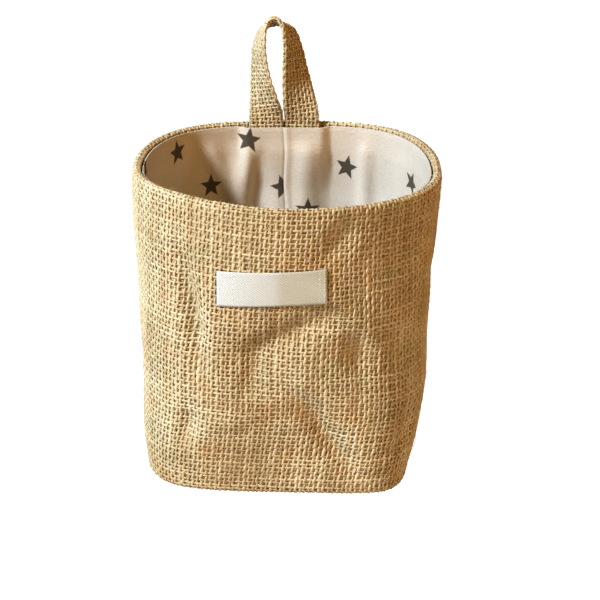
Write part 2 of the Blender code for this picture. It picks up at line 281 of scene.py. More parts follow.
# The printed stars: how far round from the middle of the back (positive to the right), height,
# turn in degrees. The first ones are those that the open mouth shows.
Star = namedtuple("Star", "along height turn")
STARS = (
    Star(-66.5, 137, 8),
    Star(-42.5, 115.5, 0),
    Star(-21, 139, -8),
    Star(-2.9, 114.5, 14),
    Star(32, 124.5, -13),
    Star(10, 102.5, -4),
    Star(81.5, 125.5, -24),
    Star(-117, 142, 30),
    Star(58, 96, 12),
    Star(-30, 84, 24),
    Star(40, 82, -14),
    Star(-66, 92, 10),
    Star(4, 74, 30),
    Star(88, 88, 34),
    Star(-100, 104, -22),
    Star(118, 108, 0),
    Star(-132, 118, 16),
)
STAR_POINTS = 5
STAR_WAIST = 0.44
STAR_FRAY = 0.10
STAR_SPREAD = 0.03
STAR_SOFT = 0.03
STAR_SPACING = 21.0
STAR_TRIES = 500
# More stars are scattered further round from the back seam than this share, or lower down
PLACED_STARS = 0.29
PLACED_FROM = 66.0

# Stitches: how much of their pitch they cover, and where the label's rows and its edges are
STITCH_STEPS = 6
STITCH_SIDES = 5
STITCH_COVER = 0.74
STITCH_SINK = 0.8
HEM_STITCH_RADIUS = 0.2
LABEL_STITCH_ROWS = (1.0, 7.6, 48.2, 50.4)
LABEL_STITCH_EDGE = 0.05
LABEL_STITCHES = 6

# Stray fibres
FIBRE_STEPS = 5
FIBRE_SIDES = 3
FIBRE_LENGTHS = (2.5, 8.0)
FIBRE_RISES = (0.1, 1.1)
FIBRE_RADII = (0.045, 0.075)
FIBRE_TONES = (0.35, 1.0)
FIBRE_LIFT = 0.15
LOOP_FIBRES_ONE_IN = 7

# Colours that tint patches of the cloths
JUTE_GREY = (0.84, 0.92, 0.86)
JUTE_RUST = (1.0, 0.86, 0.72)
LINING_FLECK = (0.84, 0.74, 0.60)
STAR_WORN = (0.12, 0.10, 0.075)
LABEL_AGED = (0.88, 0.86, 0.76)
# The label's warmer part starts between these shares of its length
LABEL_AGED_FROM = (0.50, 0.62)
TWILL_PITCH = 1.5
YARN_TWIST = 0.35

# Sockets of a Mix node for colours
MIX_FACTOR, MIX_FIRST, MIX_SECOND, MIX_COLOUR = 0, 6, 7, 2

# What the camera and the lights look at, and how far the camera looks down
CAMERA_AIM = (6.3, -1.0, 74.6)
CAMERA_DOWN = 21.0
SENSOR_WIDTH = 36.0
FLOOR_HALF_WIDTH = 4.0
FLOOR_STEPS = 8
# Lights: turn from the front (negative is left), height angle, distance in metres, size in metres
Light = namedtuple("Light", "turn rise distance size colour")
KEY = Light(-60.0, 40.0, 2.2, 0.36, (0.95, 1.0, 1.06))
FILL = Light(40.0, 25.0, 1.8, 1.2, (1.0, 0.51, 0.08))
SKY_TINT = (1.0, 0.62, 0.26)
# How much of the floor's paper glows, and how the render's tones are spread
FLOOR_GLOW = 0.90
FLOOR_GLOW_STRENGTH = 1.25
PICTURE_GAMMA = 0.78


def clamp(value):
    """The value held between 0 and 1."""
    return np.clip(value, 0.0, 1.0)


def ease(value):
    """A soft step from 0 to 1."""
    held = clamp(value)
    return held * held * (3 - 2 * held)


def unit(vectors):
    """Vectors made 1 long."""
    return vectors / np.maximum(np.linalg.norm(vectors, axis=-1, keepdims=True), 1e-12)


def smooth_table(rows, position):
    """Reads a table at positions between its rows, as a smooth curve through them all."""
    table = np.array(rows, dtype=float)
    last = len(table) - 1
    first = np.clip(np.floor(position).astype(int), 0, last - 1)
    part = (position - first)[..., None]
    steps = (np.clip(first + step, 0, last) for step in (-1, 0, 1, 2))
    before, start, end, after = (table[step] for step in steps)
    bend = 2 * before - 5 * start + 4 * end - after
    twist = 3 * (start - end) + after - before
    return start + 0.5 * part * (end - before + part * (bend + part * twist))


def outline(height):
    """The wall's outline at a height: points and outward normals, at even steps of cloth."""
    heights = [plan.height for plan in PLANS]
    position = np.interp(height, heights, range(len(PLANS)))
    plan = Plan(*smooth_table(PLANS, np.array(position)))
    angle = np.linspace(0.0, TURN, OUTLINE_POINTS + 1)
    east, north = np.sin(angle), np.cos(angle)
    reach_x = np.where(east > 0, plan.right, plan.left)
    reach_y = np.where(north > 0, plan.back, plan.front)
    side = 0.5 + 0.5 * east
    front = 0.5 - 0.5 * north
    corner = plan.square_left + (plan.square_right - plan.square_left) * side
    square = plan.square_back + (corner - plan.square_back) * front
    reach = (np.abs(east / reach_x) ** square + np.abs(north / reach_y) ** square) ** (-1 / square)
    points = np.stack([reach * east, reach * north], axis=1)
    steps = np.linalg.norm(np.diff(points, axis=0), axis=1)
    share = np.concatenate([[0.0], np.cumsum(steps)]) / steps.sum()
    even = np.linspace(0.0, 1.0, OUTLINE_POINTS + 1)
    loop = np.stack([np.interp(even, share, points[:, i]) for i in (0, 1)], axis=1)[:-1]
    turn = math.radians(plan.turn)
    loop = loop @ np.array([[math.cos(turn), math.sin(turn)], [-math.sin(turn), math.cos(turn)]])
    near = OUTLINE_POINTS // 180
    ahead = unit(np.roll(loop, -near, axis=0) - np.roll(loop, near, axis=0))
    return loop, np.stack([-ahead[:, 1], ahead[:, 0]], axis=1)


# The outline at every millimetre of height: height, place round, then point and normal
OUTLINES = np.array([np.concatenate(outline(z), axis=1) for z in range(int(RIM_HEIGHT) + 1)])


def outline_at(share, height):
    """Points of the outline and their outward normals."""
    level = np.clip(height, 0.0, RIM_HEIGHT)
    low = np.minimum(level.astype(int), len(OUTLINES) - 2)
    up = (level - low)[..., None]
    place = (share % 1.0) * OUTLINE_POINTS
    first = place.astype(int) % OUTLINE_POINTS
    second = (first + 1) % OUTLINE_POINTS
    part = (place - np.floor(place))[..., None]
    found = (1 - up) * ((1 - part) * OUTLINES[low, first] + part * OUTLINES[low, second])
    found = found + up * (
        (1 - part) * OUTLINES[low + 1, first] + part * OUTLINES[low + 1, second]
    )
    return found[..., :2], found[..., 2:]


def crease_depth(creases, along, height):
    """How far soft creases push a cloth in, at places along it."""
    depth = np.zeros(np.broadcast(along, height).shape)
    for crease in creases:
        beside = along - crease.along
        beside = beside - GIRTH * np.round(beside / GIRTH)
        up = height - crease.height
        lean = math.radians(crease.lean)
        across_it = beside * math.cos(lean) - up * math.sin(lean)
        along_it = beside * math.sin(lean) + up * math.cos(lean)
        far = (across_it / crease.half_width) ** 2 + (along_it / crease.half_length) ** 2
        depth = depth + crease.depth * np.exp(-far)
    near_base = clamp(height / CREASE_FADE_BASE)
    near_rim = clamp((RIM_HEIGHT - height) / CREASE_FADE_RIM)
    return depth * near_base * near_rim


def rim_lift(share):
    """How far the rim lies above or below RIM_HEIGHT."""
    ring = RIM_LIFTS[-1:] + RIM_LIFTS + RIM_LIFTS[:2]
    return smooth_table([(lift,) for lift in ring], (share % 1.0) * len(RIM_LIFTS) + 1)[..., 0]


def to_metres(east, north, height):
    """Points measured from the mouth's middle, in the frame's metres."""
    return np.stack([(east - MIDDLE_X) * MM, (north - MIDDLE_Y) * MM, height * MM], axis=-1)


def wall_point(share, height, inset, rise=0.0):
    """Points inside the wall's outer face by inset, and above their height by rise."""
    share, height, inset, rise = np.broadcast_arrays(share, height, inset, rise)
    point, normal = outline_at(share, height)
    depth = inset + crease_depth(JUTE_CREASES, (0.5 - share) * GIRTH, height)
    lifted = rim_lift(share) * clamp(height / RIM_HEIGHT) ** 3
    place = point - normal * depth[..., None]
    return to_metres(place[..., 0], place[..., 1], height + rise + lifted)


# Run up the jute from the base's edge: round that edge, up the wall, over the rim, down the hem
EDGE_RUN = BASE_EDGE_RADIUS * math.pi / 2
WALL_RUN = RIM_HEIGHT - RIM_ROLL_RADIUS - BASE_EDGE_RADIUS
ROLL_RUN = RIM_ROLL_RADIUS * math.pi
WOVEN_RUN = EDGE_RUN + WALL_RUN + ROLL_RUN + HEM_WOVEN
HEM_SEAM_RUN = EDGE_RUN + WALL_RUN + ROLL_RUN + HEM_SEAM_BELOW


def plan_level(height):
    """The height whose plan the wall takes: the foot spreads from the base's edge."""
    foot = clamp((height - BASE_EDGE_RADIUS) / (FOOT_HEIGHT - BASE_EDGE_RADIUS)) * FOOT_HEIGHT
    return np.where(height < FOOT_HEIGHT, foot, height)


def round_base(run):
    """Round the turn from base to wall: how far in from the wall the cloth lies, and how high."""
    turn = clamp(run / EDGE_RUN) * math.pi / 2
    return BASE_EDGE_RADIUS * (1 - np.sin(turn)), BASE_EDGE_RADIUS * (1 - np.cos(turn))


def jute_point(share, run):
    """Points of the jute's outer face, a share of the way round and a run up from its base."""
    share, run = np.broadcast_arrays(share, run)
    inset, height = round_base(run)
    roll = clamp((run - EDGE_RUN - WALL_RUN) / ROLL_RUN) * math.pi
    hem = np.maximum(run - EDGE_RUN - WALL_RUN - ROLL_RUN, 0.0)
    inset = inset - np.minimum(run, 0.0) + RIM_ROLL_RADIUS * (1 - np.cos(roll))
    height = height + np.clip(run - EDGE_RUN, 0.0, WALL_RUN) - hem
    level = plan_level(height)
    return wall_point(share, level, inset, height - level + RIM_ROLL_RADIUS * np.sin(roll))


def surface_normals(point_at, u, v, step_u, step_v):
    """Outward normals of a surface, from its neighbours."""
    along = point_at(u + step_u, v) - point_at(u - step_u, v)
    up = point_at(u, v + step_v) - point_at(u, v - step_v)
    return unit(np.cross(up, along))


def jute_normals(share, run):
    """Outward normals of the jute's outer face."""
    return surface_normals(jute_point, share, run, NORMAL_STEP / GIRTH, NORMAL_STEP)


def groove_depth(groove, away):
    """How deep a soft groove is, at a distance from its middle."""
    return groove.depth * np.exp(-((away / groove.half_width) ** 2))


def wander(rng, yarns, points, stride, closed=False):
    """Smooth random values from -1 to 1 along each yarn, with a new one every stride points."""
    knots = max(2, round(points / stride))
    values = rng.uniform(-1, 1, (yarns, knots + 1))
    if closed:
        values[:, -1] = values[:, 0]
    place = np.linspace(0, knots, points)
    first = np.minimum(place.astype(int), knots - 1)
    part = ease(place - first)
    return values[:, first] * (1 - part) + values[:, first + 1] * part


# One yarn: its middle line, the way out of the cloth, half its width and thickness along it,
# and its tone
Yarn = namedtuple("Yarn", "middle outward half_width half_thick tone")


def make_yarn(rng, middle, outward, kind, phase, closed):
    """A yarn along a middle line that swings over and under the yarns that it crosses. Its
    phase is 0 where it is over and pi where it is under."""
    count = len(middle)
    beside = unit(np.cross(line_ahead(middle, closed), outward))
    middle = middle + beside * (kind.slant * np.sin(phase) * MM)[:, None]
    slow, quick, slub = (wander(rng, 1, count, stride, closed)[0] for stride in YARN_STRIDES)
    thick = 1 + kind.uneven * (0.55 * slow + 0.45 * quick) + np.maximum(slub - SLUB_FROM, 0.0)
    lift = (np.cos(phase) * kind.swing - kind.depth) * MM
    tone = rng.normal(kind.tone, kind.tones) + 0.16 * slow + 0.12 * quick
    half_width = kind.half_width * MM * thick
    half_thick = kind.half_thick * MM * (0.6 + 0.4 * thick)
    if not closed:
        half_width[[0, -1]] = half_thick[[0, -1]] = 0.0
    return Yarn(middle + outward * lift[:, None], outward, half_width, half_thick, clamp(tone))


def make_thread(middle, outward, radius, tone):
    """A plain round yarn, closed at both ends."""
    half = np.full(len(middle), radius)
    half[[0, -1]] = 0.0
    return Yarn(middle, outward, half, half, np.full(len(middle), tone))


def line_ahead(middle, closed):
    """The way ahead along a line of points."""
    ahead = np.gradient(middle, axis=0)
    if closed:
        ahead[[0, -1]] = ahead[0] + ahead[-1]
    return ahead


def weave_one_way(rng, places, outward, inside, kind, shift, closed):
    """Yarns along every second row of a grid of places. Inside says which places are cloth."""
    yarns = []
    for row in range(0, len(places), 2):
        shown = np.flatnonzero(inside[row])
        if len(shown) < SHORTEST_YARN:
            continue
        if closed:
            shown = np.append(shown, shown[0])
        phase = math.pi * (shown + row + shift) / 2
        yarns.append(make_yarn(rng, places[row, shown], outward[row, shown], kind, phase, closed))
    return yarns


def weave(rng, places, outward, inside, closed_round, upright_kind, level_kind):
    """Upright and level yarns over a grid of places with two steps to a yarn each way. The first
    way of the grid goes round the cloth, the second up it."""
    uprights = weave_one_way(rng, places, outward, inside, upright_kind, 0, False)
    turned = places.swapaxes(0, 1), outward.swapaxes(0, 1), inside.T
    return uprights, weave_one_way(rng, *turned, level_kind, 2, closed_round)


# Meshes


def read_places(mesh):
    """A mesh's vertex places as rows."""
    places = np.empty(len(mesh.vertices) * 3)
    mesh.vertices.foreach_get("co", places)
    return places.reshape(-1, 3)


def read_map(mesh, name):
    """One of a mesh's maps, with a row for each corner of a face."""
    rows = np.empty(len(mesh.loops) * 2)
    mesh.uv_layers[name].uv.foreach_get("vector", rows)
    return rows.reshape(-1, 2)


def write_map(mesh, name, rows):
    """Sets one of a mesh's maps, which is made if it is new."""
    layer = mesh.uv_layers.get(name) or mesh.uv_layers.new(name=name)
    layer.uv.foreach_set("vector", rows.ravel())


def face_corners(mesh):
    """Where each face's corners start, and how many it has."""
    start = np.empty(len(mesh.polygons), np.int32)
    mesh.polygons.foreach_get("loop_start", start)
    return start, np.diff(np.append(start, len(mesh.loops)))


def grid_mesh(name, sizes):
    """A mesh of grid primitives, one for each pair of steps long and steps wide."""
    cage = bmesh.new()
    cage.loops.layers.uv.new(BAKE_MAP)
    for long, wide in sizes:
        bmesh.ops.create_grid(cage, x_segments=long, y_segments=wide, size=1.0, calc_uvs=True)
    return new_mesh(name, cage)


def new_mesh(name, cage):
    """A mesh made of a cage, which is freed."""
    mesh = bpy.data.meshes.new(name)
    cage.to_mesh(mesh)
    cage.free()
    return mesh


def mend(mesh, join, turn_out):
    """Joins a mesh's points that meet, or turns its faces outward, or both."""
    cage = bmesh.new()
    cage.from_mesh(mesh)
    if join:
        bmesh.ops.remove_doubles(cage, verts=cage.verts, dist=MERGE)
    if turn_out:
        bmesh.ops.recalc_face_normals(cage, faces=cage.faces)
    cage.to_mesh(mesh)
    cage.free()
    mesh.shade_smooth()


def tube_mesh(name, yarns, sides):
    """One mesh of many yarns. Each starts as a grid primitive, which is rolled into a tube round
    its yarn's middle line. Where the tube's ends have no width, they close."""
    mesh = grid_mesh(name, [(len(yarn.middle) - 1, sides) for yarn in yarns])
    grid = read_places(mesh)
    maps = read_map(mesh, BAKE_MAP)
    cloth_map = maps.copy()
    tone = np.empty(len(grid))
    first_vert, first_loop = 0, 0
    for number, yarn in enumerate(yarns):
        steps = len(yarn.middle) - 1
        verts = slice(first_vert, first_vert + (steps + 1) * (sides + 1))
        loops = slice(first_loop, first_loop + steps * sides * 4)
        column = np.rint((grid[verts, 0] + 1) / 2 * steps).astype(int)
        row = np.rint((grid[verts, 1] + 1) / 2 * sides).astype(int)
        angle = (row % sides * TURN / sides)[:, None]
        ahead = line_ahead(yarn.middle, np.allclose(yarn.middle[0], yarn.middle[-1]))
        across = unit(np.cross(ahead, yarn.outward))
        out = unit(np.cross(across, ahead))
        wide = across[column] * yarn.half_width[column, None] * np.sin(angle)
        deep = out[column] * yarn.half_thick[column, None] * np.cos(angle)
        grid[verts] = yarn.middle[column] + wide - deep
        tone[verts] = yarn.tone[column]
        length = np.linalg.norm(np.diff(yarn.middle, axis=0), axis=1).sum() / MM
        cloth_map[loops, 0] = maps[loops, 0] * length + number * YARN_MAP_AWAY
        maps[loops, 1] = (number + 0.05 + 0.9 * maps[loops, 1]) / len(yarns)
        first_vert, first_loop = verts.stop, loops.stop
    grid[:, 2] = np.maximum(grid[:, 2], FLOOR_CLEAR * MM)
    mesh.vertices.foreach_set("co", grid.ravel())
    write_map(mesh, BAKE_MAP, maps)
    write_map(mesh, CLOTH_MAP, cloth_map)
    mesh.attributes.new("tone", "FLOAT", "POINT").data.foreach_set("value", tone)
    mend(mesh, join=True, turn_out=False)
    return mesh


def cup_rings(wall_rings, scales):
    """The wall's rings, with rings of a flat base inside the lowest of them put first."""
    foot = wall_rings[0]
    middle = foot.mean(axis=0)
    base = [middle + (foot - middle) * scale for scale in scales]
    return np.concatenate([base, wall_rings])


def sort_ball(cage, rings, around):
    """Puts a ball's parts in order by ring and column, because the primitive's own order changes
    from run to run. Points lie on even half steps, and the middles of faces on odd ones."""

    def place(point):
        up = math.atan2(point.z, math.hypot(point.x, point.y)) / math.pi + 0.5
        turn = math.atan2(point.x, point.y) / TURN
        return round(2 * rings * up) * 2 * around + round(2 * around * turn) % (2 * around)

    cage.verts.sort(key=lambda vert: place(vert.co))
    cage.edges.sort(key=lambda edge: place((edge.verts[0].co + edge.verts[1].co) / 2))
    cage.faces.sort(key=lambda face: place(face.calc_center_median()))


def pouch_mesh(name, rings, base_rings, shares, runs):
    """An open pouch: a sphere primitive without its top, each of whose rings is moved to the
    cloth. Its cloth map is in millimetres, and the base's part of it is as seen in plan."""
    count, around = rings.shape[:2]
    cage = bmesh.new()
    bmesh.ops.create_uvsphere(cage, u_segments=around, v_segments=count + 1, radius=1.0)
    top = max(cage.verts, key=lambda vert: vert.co.z)
    bmesh.ops.delete(cage, geom=[top], context="VERTS")
    sort_ball(cage, count + 1, around)
    mesh = new_mesh(name, cage)
    ball = read_places(mesh)
    up = np.arcsin(np.clip(ball[:, 2], -1, 1)) / math.pi + 0.5
    ring = np.rint(up * (count + 1)).astype(int)
    turn = np.arctan2(ball[:, 0], ball[:, 1]) / TURN
    column = np.rint(turn * around).astype(int) % around
    places = rings[np.maximum(ring, 1) - 1, column]
    places[ring == 0] = rings[0].mean(axis=0)
    mesh.vertices.foreach_set("co", places.ravel())

    vertex = np.empty(len(mesh.loops), np.int32)
    mesh.loops.foreach_get("vertex_index", vertex)
    start, sizes = face_corners(mesh)
    face = np.repeat(np.arange(len(start)), sizes)
    place_round = column[vertex]
    furthest = np.maximum.reduceat(place_round, start)[face]
    place_round = place_round + around * (furthest - place_round > around // 2)
    in_base = (np.minimum.reduceat(ring[vertex], start) < base_rings)[face]
    along = np.append(shares, shares[0] + 1)[place_round]
    run = np.concatenate([np.zeros(base_rings), runs])[np.maximum(ring[vertex], 1) - 1]
    cloth = np.stack([along * GIRTH, run], axis=1)
    up_map = BASE_MAP_SHARE + (1 - BASE_MAP_SHARE) * run / runs[-1]
    baked = np.stack([along - shares[0], up_map], axis=1)
    plan = places[vertex, :2] / MM
    cloth[in_base] = plan[in_base] + BASE_CLOTH_AWAY
    baked[in_base] = BASE_MAP_SHARE * (0.5 + plan[in_base] / BASE_MAP_WIDTH)
    write_map(mesh, BAKE_MAP, baked)
    write_map(mesh, CLOTH_MAP, cloth)
    mend(mesh, join=False, turn_out=True)
    return mesh


def strip_mesh(name, point_at, steps_long, steps_wide, length, width):
    """A strip: a grid primitive whose points are moved to point_at(share long, share wide). Its
    cloth map is in millimetres."""
    mesh = grid_mesh(name, [(steps_long, steps_wide)])
    grid = read_places(mesh)
    places = point_at((grid[:, 0] + 1) / 2, (grid[:, 1] + 1) / 2)
    mesh.vertices.foreach_set("co", places.ravel())
    write_map(mesh, CLOTH_MAP, read_map(mesh, BAKE_MAP) * (length, width))
    mesh.shade_smooth()
    return mesh


def add_object(name, data):
    """Puts an object in the scene."""
    made = bpy.data.objects.new(name, data)
    bpy.context.scene.collection.objects.link(made)
    return made


def add_piece(name, mesh, finish):
    """Puts a piece in the scene with its material, riding on the bag."""
    mesh.materials.append(finish)
    piece = add_object(name, mesh)
    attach(piece, "root")
    return piece


def add_yarns(name, yarns, sides, finish):
    """Puts a piece of many yarns in the scene."""
    return add_piece(name, tube_mesh(name, yarns, sides), finish)


def thicken(piece, thickness, offset):
    """Gives a sheet its thickness; offset -1 grows it inward from its outer face."""
    thick = piece.modifiers.new("Thickness", "SOLIDIFY")
    thick.thickness = thickness * MM
    thick.offset = offset
    thick.use_even_offset = True


# Lining


def lining_bulge(share, height):
    """How far the lining stands in over the loop's ends, which are sewn in behind it."""
    far = np.abs((share + 0.5) % 1.0 - 0.5 - LOOP_MIDDLE_X / GIRTH) * GIRTH
    beside = ease((LOOP_WIDTH + BULGE_MARGIN - far) / BULGE_FADE)
    above = ease((height - RIM_HEIGHT + BULGE_BELOW_RIM) / BULGE_RISE)
    return (LOOP_THICK + 3 * GAP) * beside * above


def lining_inset(share, height):
    """How far the lining hangs inside the jute's outer face."""
    hem_room = 2 * RIM_ROLL_RADIUS + 2 * GAP
    free_room = JUTE_THICK + LINING_ROOM + LINING_SLACK
    near_rim = clamp((height - RIM_HEIGHT + HEM_ROOM_BELOW_RIM) / HEM_ROOM_RISE)
    along = ((share + 0.5) % 1.0 - 0.5) * GIRTH
    from_top = clamp((LINING_TOP - height) / FOLD_FADE)
    folds = crease_depth(LINING_FOLDS, along, height) * from_top
    sway = SEAM_SWAY * np.sin(TURN * height / SEAM_SWAY_LENGTH)
    seam_side = along - LINING_SEAM_X - sway
    seam = groove_depth(LINING_SEAM, seam_side)
    ridge = groove_depth(SEAM_RIDGE, seam_side - SEAM_RIDGE.half_width)
    room = free_room + (hem_room - free_room) * near_rim
    lip = LIP_DEPTH * ease((height - LINING_TOP) / LIP_HEIGHT + 1)
    return room + lining_bulge(share, height) + folds + ridge - seam + lip


def lining_point(share, run):
    """Points of the lining's outer face, a share of the way round and a run up from its base."""
    share, run = np.broadcast_arrays(share, run)
    edge_inset, edge_height = round_base(run)
    height = edge_height + np.maximum(run - EDGE_RUN, 0.0)
    level = plan_level(height)
    inset = lining_inset(share, height) + edge_inset
    floor = (JUTE_THICK + GAP) * clamp(1 - level / FOOT_HEIGHT)
    return wall_point(share, level, inset, height - level + floor)


def lining_shares():
    """Shares round the lining, closest together at its back seam."""
    even = np.arange(LINING_AROUND) / LINING_AROUND
    bent = even - LINING_CROWDING * np.sin(TURN * even) / TURN
    return bent + LINING_SEAM_X / GIRTH


def print_map(mesh, reach):
    """Maps every face to the star nearest to it: its place seen from that star's middle, turned
    as the star is and in units of its reach."""
    rng = np.random.default_rng(PRINT_SEED)
    start_run = EDGE_RUN - BASE_EDGE_RADIUS
    stars = [
        ((star.along - LINING_SEAM_X) % GIRTH + LINING_SEAM_X, star.height + start_run, star.turn)
        for star in STARS
    ]
    for _ in range(STAR_TRIES):
        along, height = rng.uniform(0, GIRTH), rng.uniform(6, 140)
        placed = GIRTH * PLACED_STARS < along < GIRTH * (1 - PLACED_STARS) or height < PLACED_FROM
        gap = min(math.hypot(along - star[0], height - star[1]) for star in stars)
        if placed and gap > STAR_SPACING:
            stars.append((along, height, rng.uniform(0, 72)))
    stars = np.array(stars)
    cloth = read_map(mesh, CLOTH_MAP)
    start, sizes = face_corners(mesh)
    middle = np.add.reduceat(cloth, start) / sizes[:, None]
    away = middle[:, None] - stars[None, :, :2]
    nearest = np.argmin(np.hypot(away[..., 0], away[..., 1]), axis=1)
    own = stars[np.repeat(nearest, sizes)]
    local = cloth - own[:, :2]
    turn = np.radians(own[:, 2])
    turned = np.stack(
        [
            local[:, 0] * np.cos(turn) + local[:, 1] * np.sin(turn),
            local[:, 1] * np.cos(turn) - local[:, 0] * np.sin(turn),
        ],
        axis=1,
    )
    write_map(mesh, PRINT_MAP, turned / reach)


# Loop


def loop_stations():
    """The loop's stations, with both ends led down inside the hem."""
    leg = (LOOP_WIDTH + LOOP_LEGS_GAP) / 2
    end_y = PLANS[-1].back - 2 * RIM_ROLL_RADIUS - GAP - LOOP_THICK / 2 - LOOP_END_FORWARD
    low = RIM_HEIGHT - RIM_ROLL_RADIUS - HEM_SHOWN - LOOP_TUCK
    ends = []
    for side, turn in ((-1, LOOP_END_TURN), (1, -180 - LOOP_END_TURN)):
        x = LOOP_MIDDLE_X + side * leg
        ends.append([BandStation(x, end_y, z, turn, 0) for z in (low, low + LOOP_FLAT)])
    return (*ends[0], *LOOP_TOP, *reversed(ends[1]))


def loop_frame(share_long):
    """Along the loop's band: its middle, the way to its slit-side edge and the way ahead."""
    stations = loop_stations()
    last = len(stations) - 1
    fine = np.linspace(0, last, 60 * last + 1)
    steps = np.linalg.norm(np.diff(smooth_table(stations, fine)[:, :3], axis=0), axis=1)
    length = np.concatenate([[0.0], np.cumsum(steps)])
    place = np.interp(share_long * length[-1], length, fine)
    here = smooth_table(stations, place)
    step = 0.02
    ahead = smooth_table(stations, np.minimum(place + step, last))
    forward = unit((ahead - smooth_table(stations, np.maximum(place - step, 0.0)))[..., :3])
    turn, rise = np.radians(here[..., 3]), np.radians(here[..., 4])
    level = np.cos(rise)
    edge = np.stack([np.cos(turn) * level, np.sin(turn) * level, np.sin(rise)], axis=-1)
    edge = unit(edge - forward * (edge * forward).sum(axis=-1, keepdims=True))
    return here[..., :3], edge, forward


def loop_point(round_it, share_long, depth=0.0):
    """Points of the loop's surface: a share round the band's flat section, and along it."""
    round_it, share_long = np.broadcast_arrays(round_it, share_long)
    middle, edge, forward = loop_frame(share_long)
    face = np.cross(forward, edge)
    radius = LOOP_THICK / 2
    straight = LOOP_WIDTH - LOOP_THICK
    total = 2 * straight + TURN * radius
    run = (round_it % 1.0) * total
    arc = math.pi * radius
    legs = (straight, straight + arc, 2 * straight + arc)
    bend = clamp((run - legs[0]) / arc) * math.pi + clamp((run - legs[2]) / arc) * math.pi
    out_x, out_y = np.sin(bend), np.cos(bend)
    half = straight / 2
    across = np.interp(run, (0.0, *legs, total), (-half, half, half, -half, -half))
    x = across + out_x * (radius - depth)
    y = out_y * (radius - depth)
    place = middle + edge * x[..., None] + face * y[..., None]
    return to_metres(place[..., 0], place[..., 1], place[..., 2])


def loop_ground_mesh(name):
    """The loop's ground cloth: a grid primitive rolled round the band's section. Both its ends
    are drawn together to a line, which closes it."""
    around, steps = LOOP_GROUND_AROUND, LOOP_GROUND_STEPS

    def point_at(share_long, share_round):
        at_end = (share_long < 0.25 / steps) | (share_long > 1 - 0.25 / steps)
        depth = np.where(at_end, LOOP_THICK / 2, LOOP_GROUND_DEPTH)
        # Points of the two faces meet in pairs on each end's line
        from_edge = (np.rint(share_round * around) + 1) % around
        paired = np.minimum(from_edge, around - from_edge) / (around / 2)
        on_line = paired * (LOOP_WIDTH - LOOP_THICK) / LOOP_ROUND
        return loop_point(np.where(at_end, on_line, share_round), share_long, depth)

    mesh = strip_mesh(name, point_at, steps, around, LOOP_LENGTH, LOOP_ROUND)
    mend(mesh, join=True, turn_out=True)
    return mesh


# Label


def label_point(share_long, share_wide, above=0.0):
    """Points of the label's back, or above it, by its share along and up."""
    along = LABEL_MIDDLE_ALONG + LABEL_LENGTH * (share_long - 0.5)
    height = LABEL_MIDDLE_HEIGHT + LABEL_WIDTH * (share_wide - 0.5)
    height = height + LABEL_RISE * (share_long - 0.5)
    return wall_point(0.5 - along / GIRTH, height, -LABEL_GAP - above)


# Points of the label's front
label_front = partial(label_point, above=LABEL_THICK)


# Woven surfaces


def ripple(rng, round_steps, up_steps, stride):
    """Smooth random values from -1 to 1 over a grid that closes round its first way."""
    knots = max(3, round(round_steps / stride))
    rows = wander(rng, knots, up_steps, stride)
    rows = np.concatenate([rows, rows[:1]])
    place = np.arange(round_steps) / round_steps * knots
    first = place.astype(int)
    part = ease(place - first)[:, None]
    return rows[first] * (1 - part) + rows[first + 1] * part


def slow_and_quick(make, strides):
    """Smooth random values of which the slow changes are larger than the quick ones."""
    slow, quick = (make(stride) for stride in strides)
    return 0.6 * slow + 0.4 * quick


def woven_grid(rng, around, rows, drift):
    """Places on a weave that closes round: two steps to a yarn each way, as shares of the way
    round and of the way up. The yarns wander, and stay joined where they cross."""
    places_up = 2 * rows + 1
    places_round = 2 * around + 1
    sideways = partial(wander, rng, around, places_up)
    upward = partial(wander, rng, rows + 1, places_round, closed=True)
    side = drift * slow_and_quick(sideways, SIDE_STRIDES)
    up = drift * slow_and_quick(upward, UP_STRIDES)
    up[[0, -1]] = 0.0
    share = np.empty((2 * around, places_up))
    share[0::2] = np.arange(around)[:, None] + side
    after = np.concatenate([share[2::2], share[:1] + around])
    share[1::2] = (share[0::2] + after) / 2
    height = np.empty((2 * around, places_up))
    height[:, 0::2] = (np.arange(rows + 1)[:, None] + up[:, :-1]).T
    height[:, 1::2] = (height[:, 0:-2:2] + height[:, 2::2]) / 2
    return share / around, height / rows


def wall_weave(around, rows):
    """The yarns of the wall, the rim and the hem behind it."""
    rng = np.random.default_rng(WALL_SEED)
    share, height = woven_grid(rng, around, rows, WALL_DRIFT)
    run = height * WOVEN_RUN
    places = jute_point(share, run)
    outward = jute_normals(share, run)
    uneven = slow_and_quick(partial(ripple, rng, *share.shape), WALL_STRIDES)
    beside = ((share + 0.5) % 1.0 - 0.5) * GIRTH
    seams = groove_depth(BACK_SEAM, beside) + groove_depth(HEM_SEAM, run - HEM_SEAM_RUN)
    depth = (seams + WALL_UNEVEN * uneven) * MM
    places = places - outward * depth[..., None]
    inside = np.ones(share.shape, bool)
    return weave(rng, places, outward, inside, True, UPRIGHT, LEVEL)


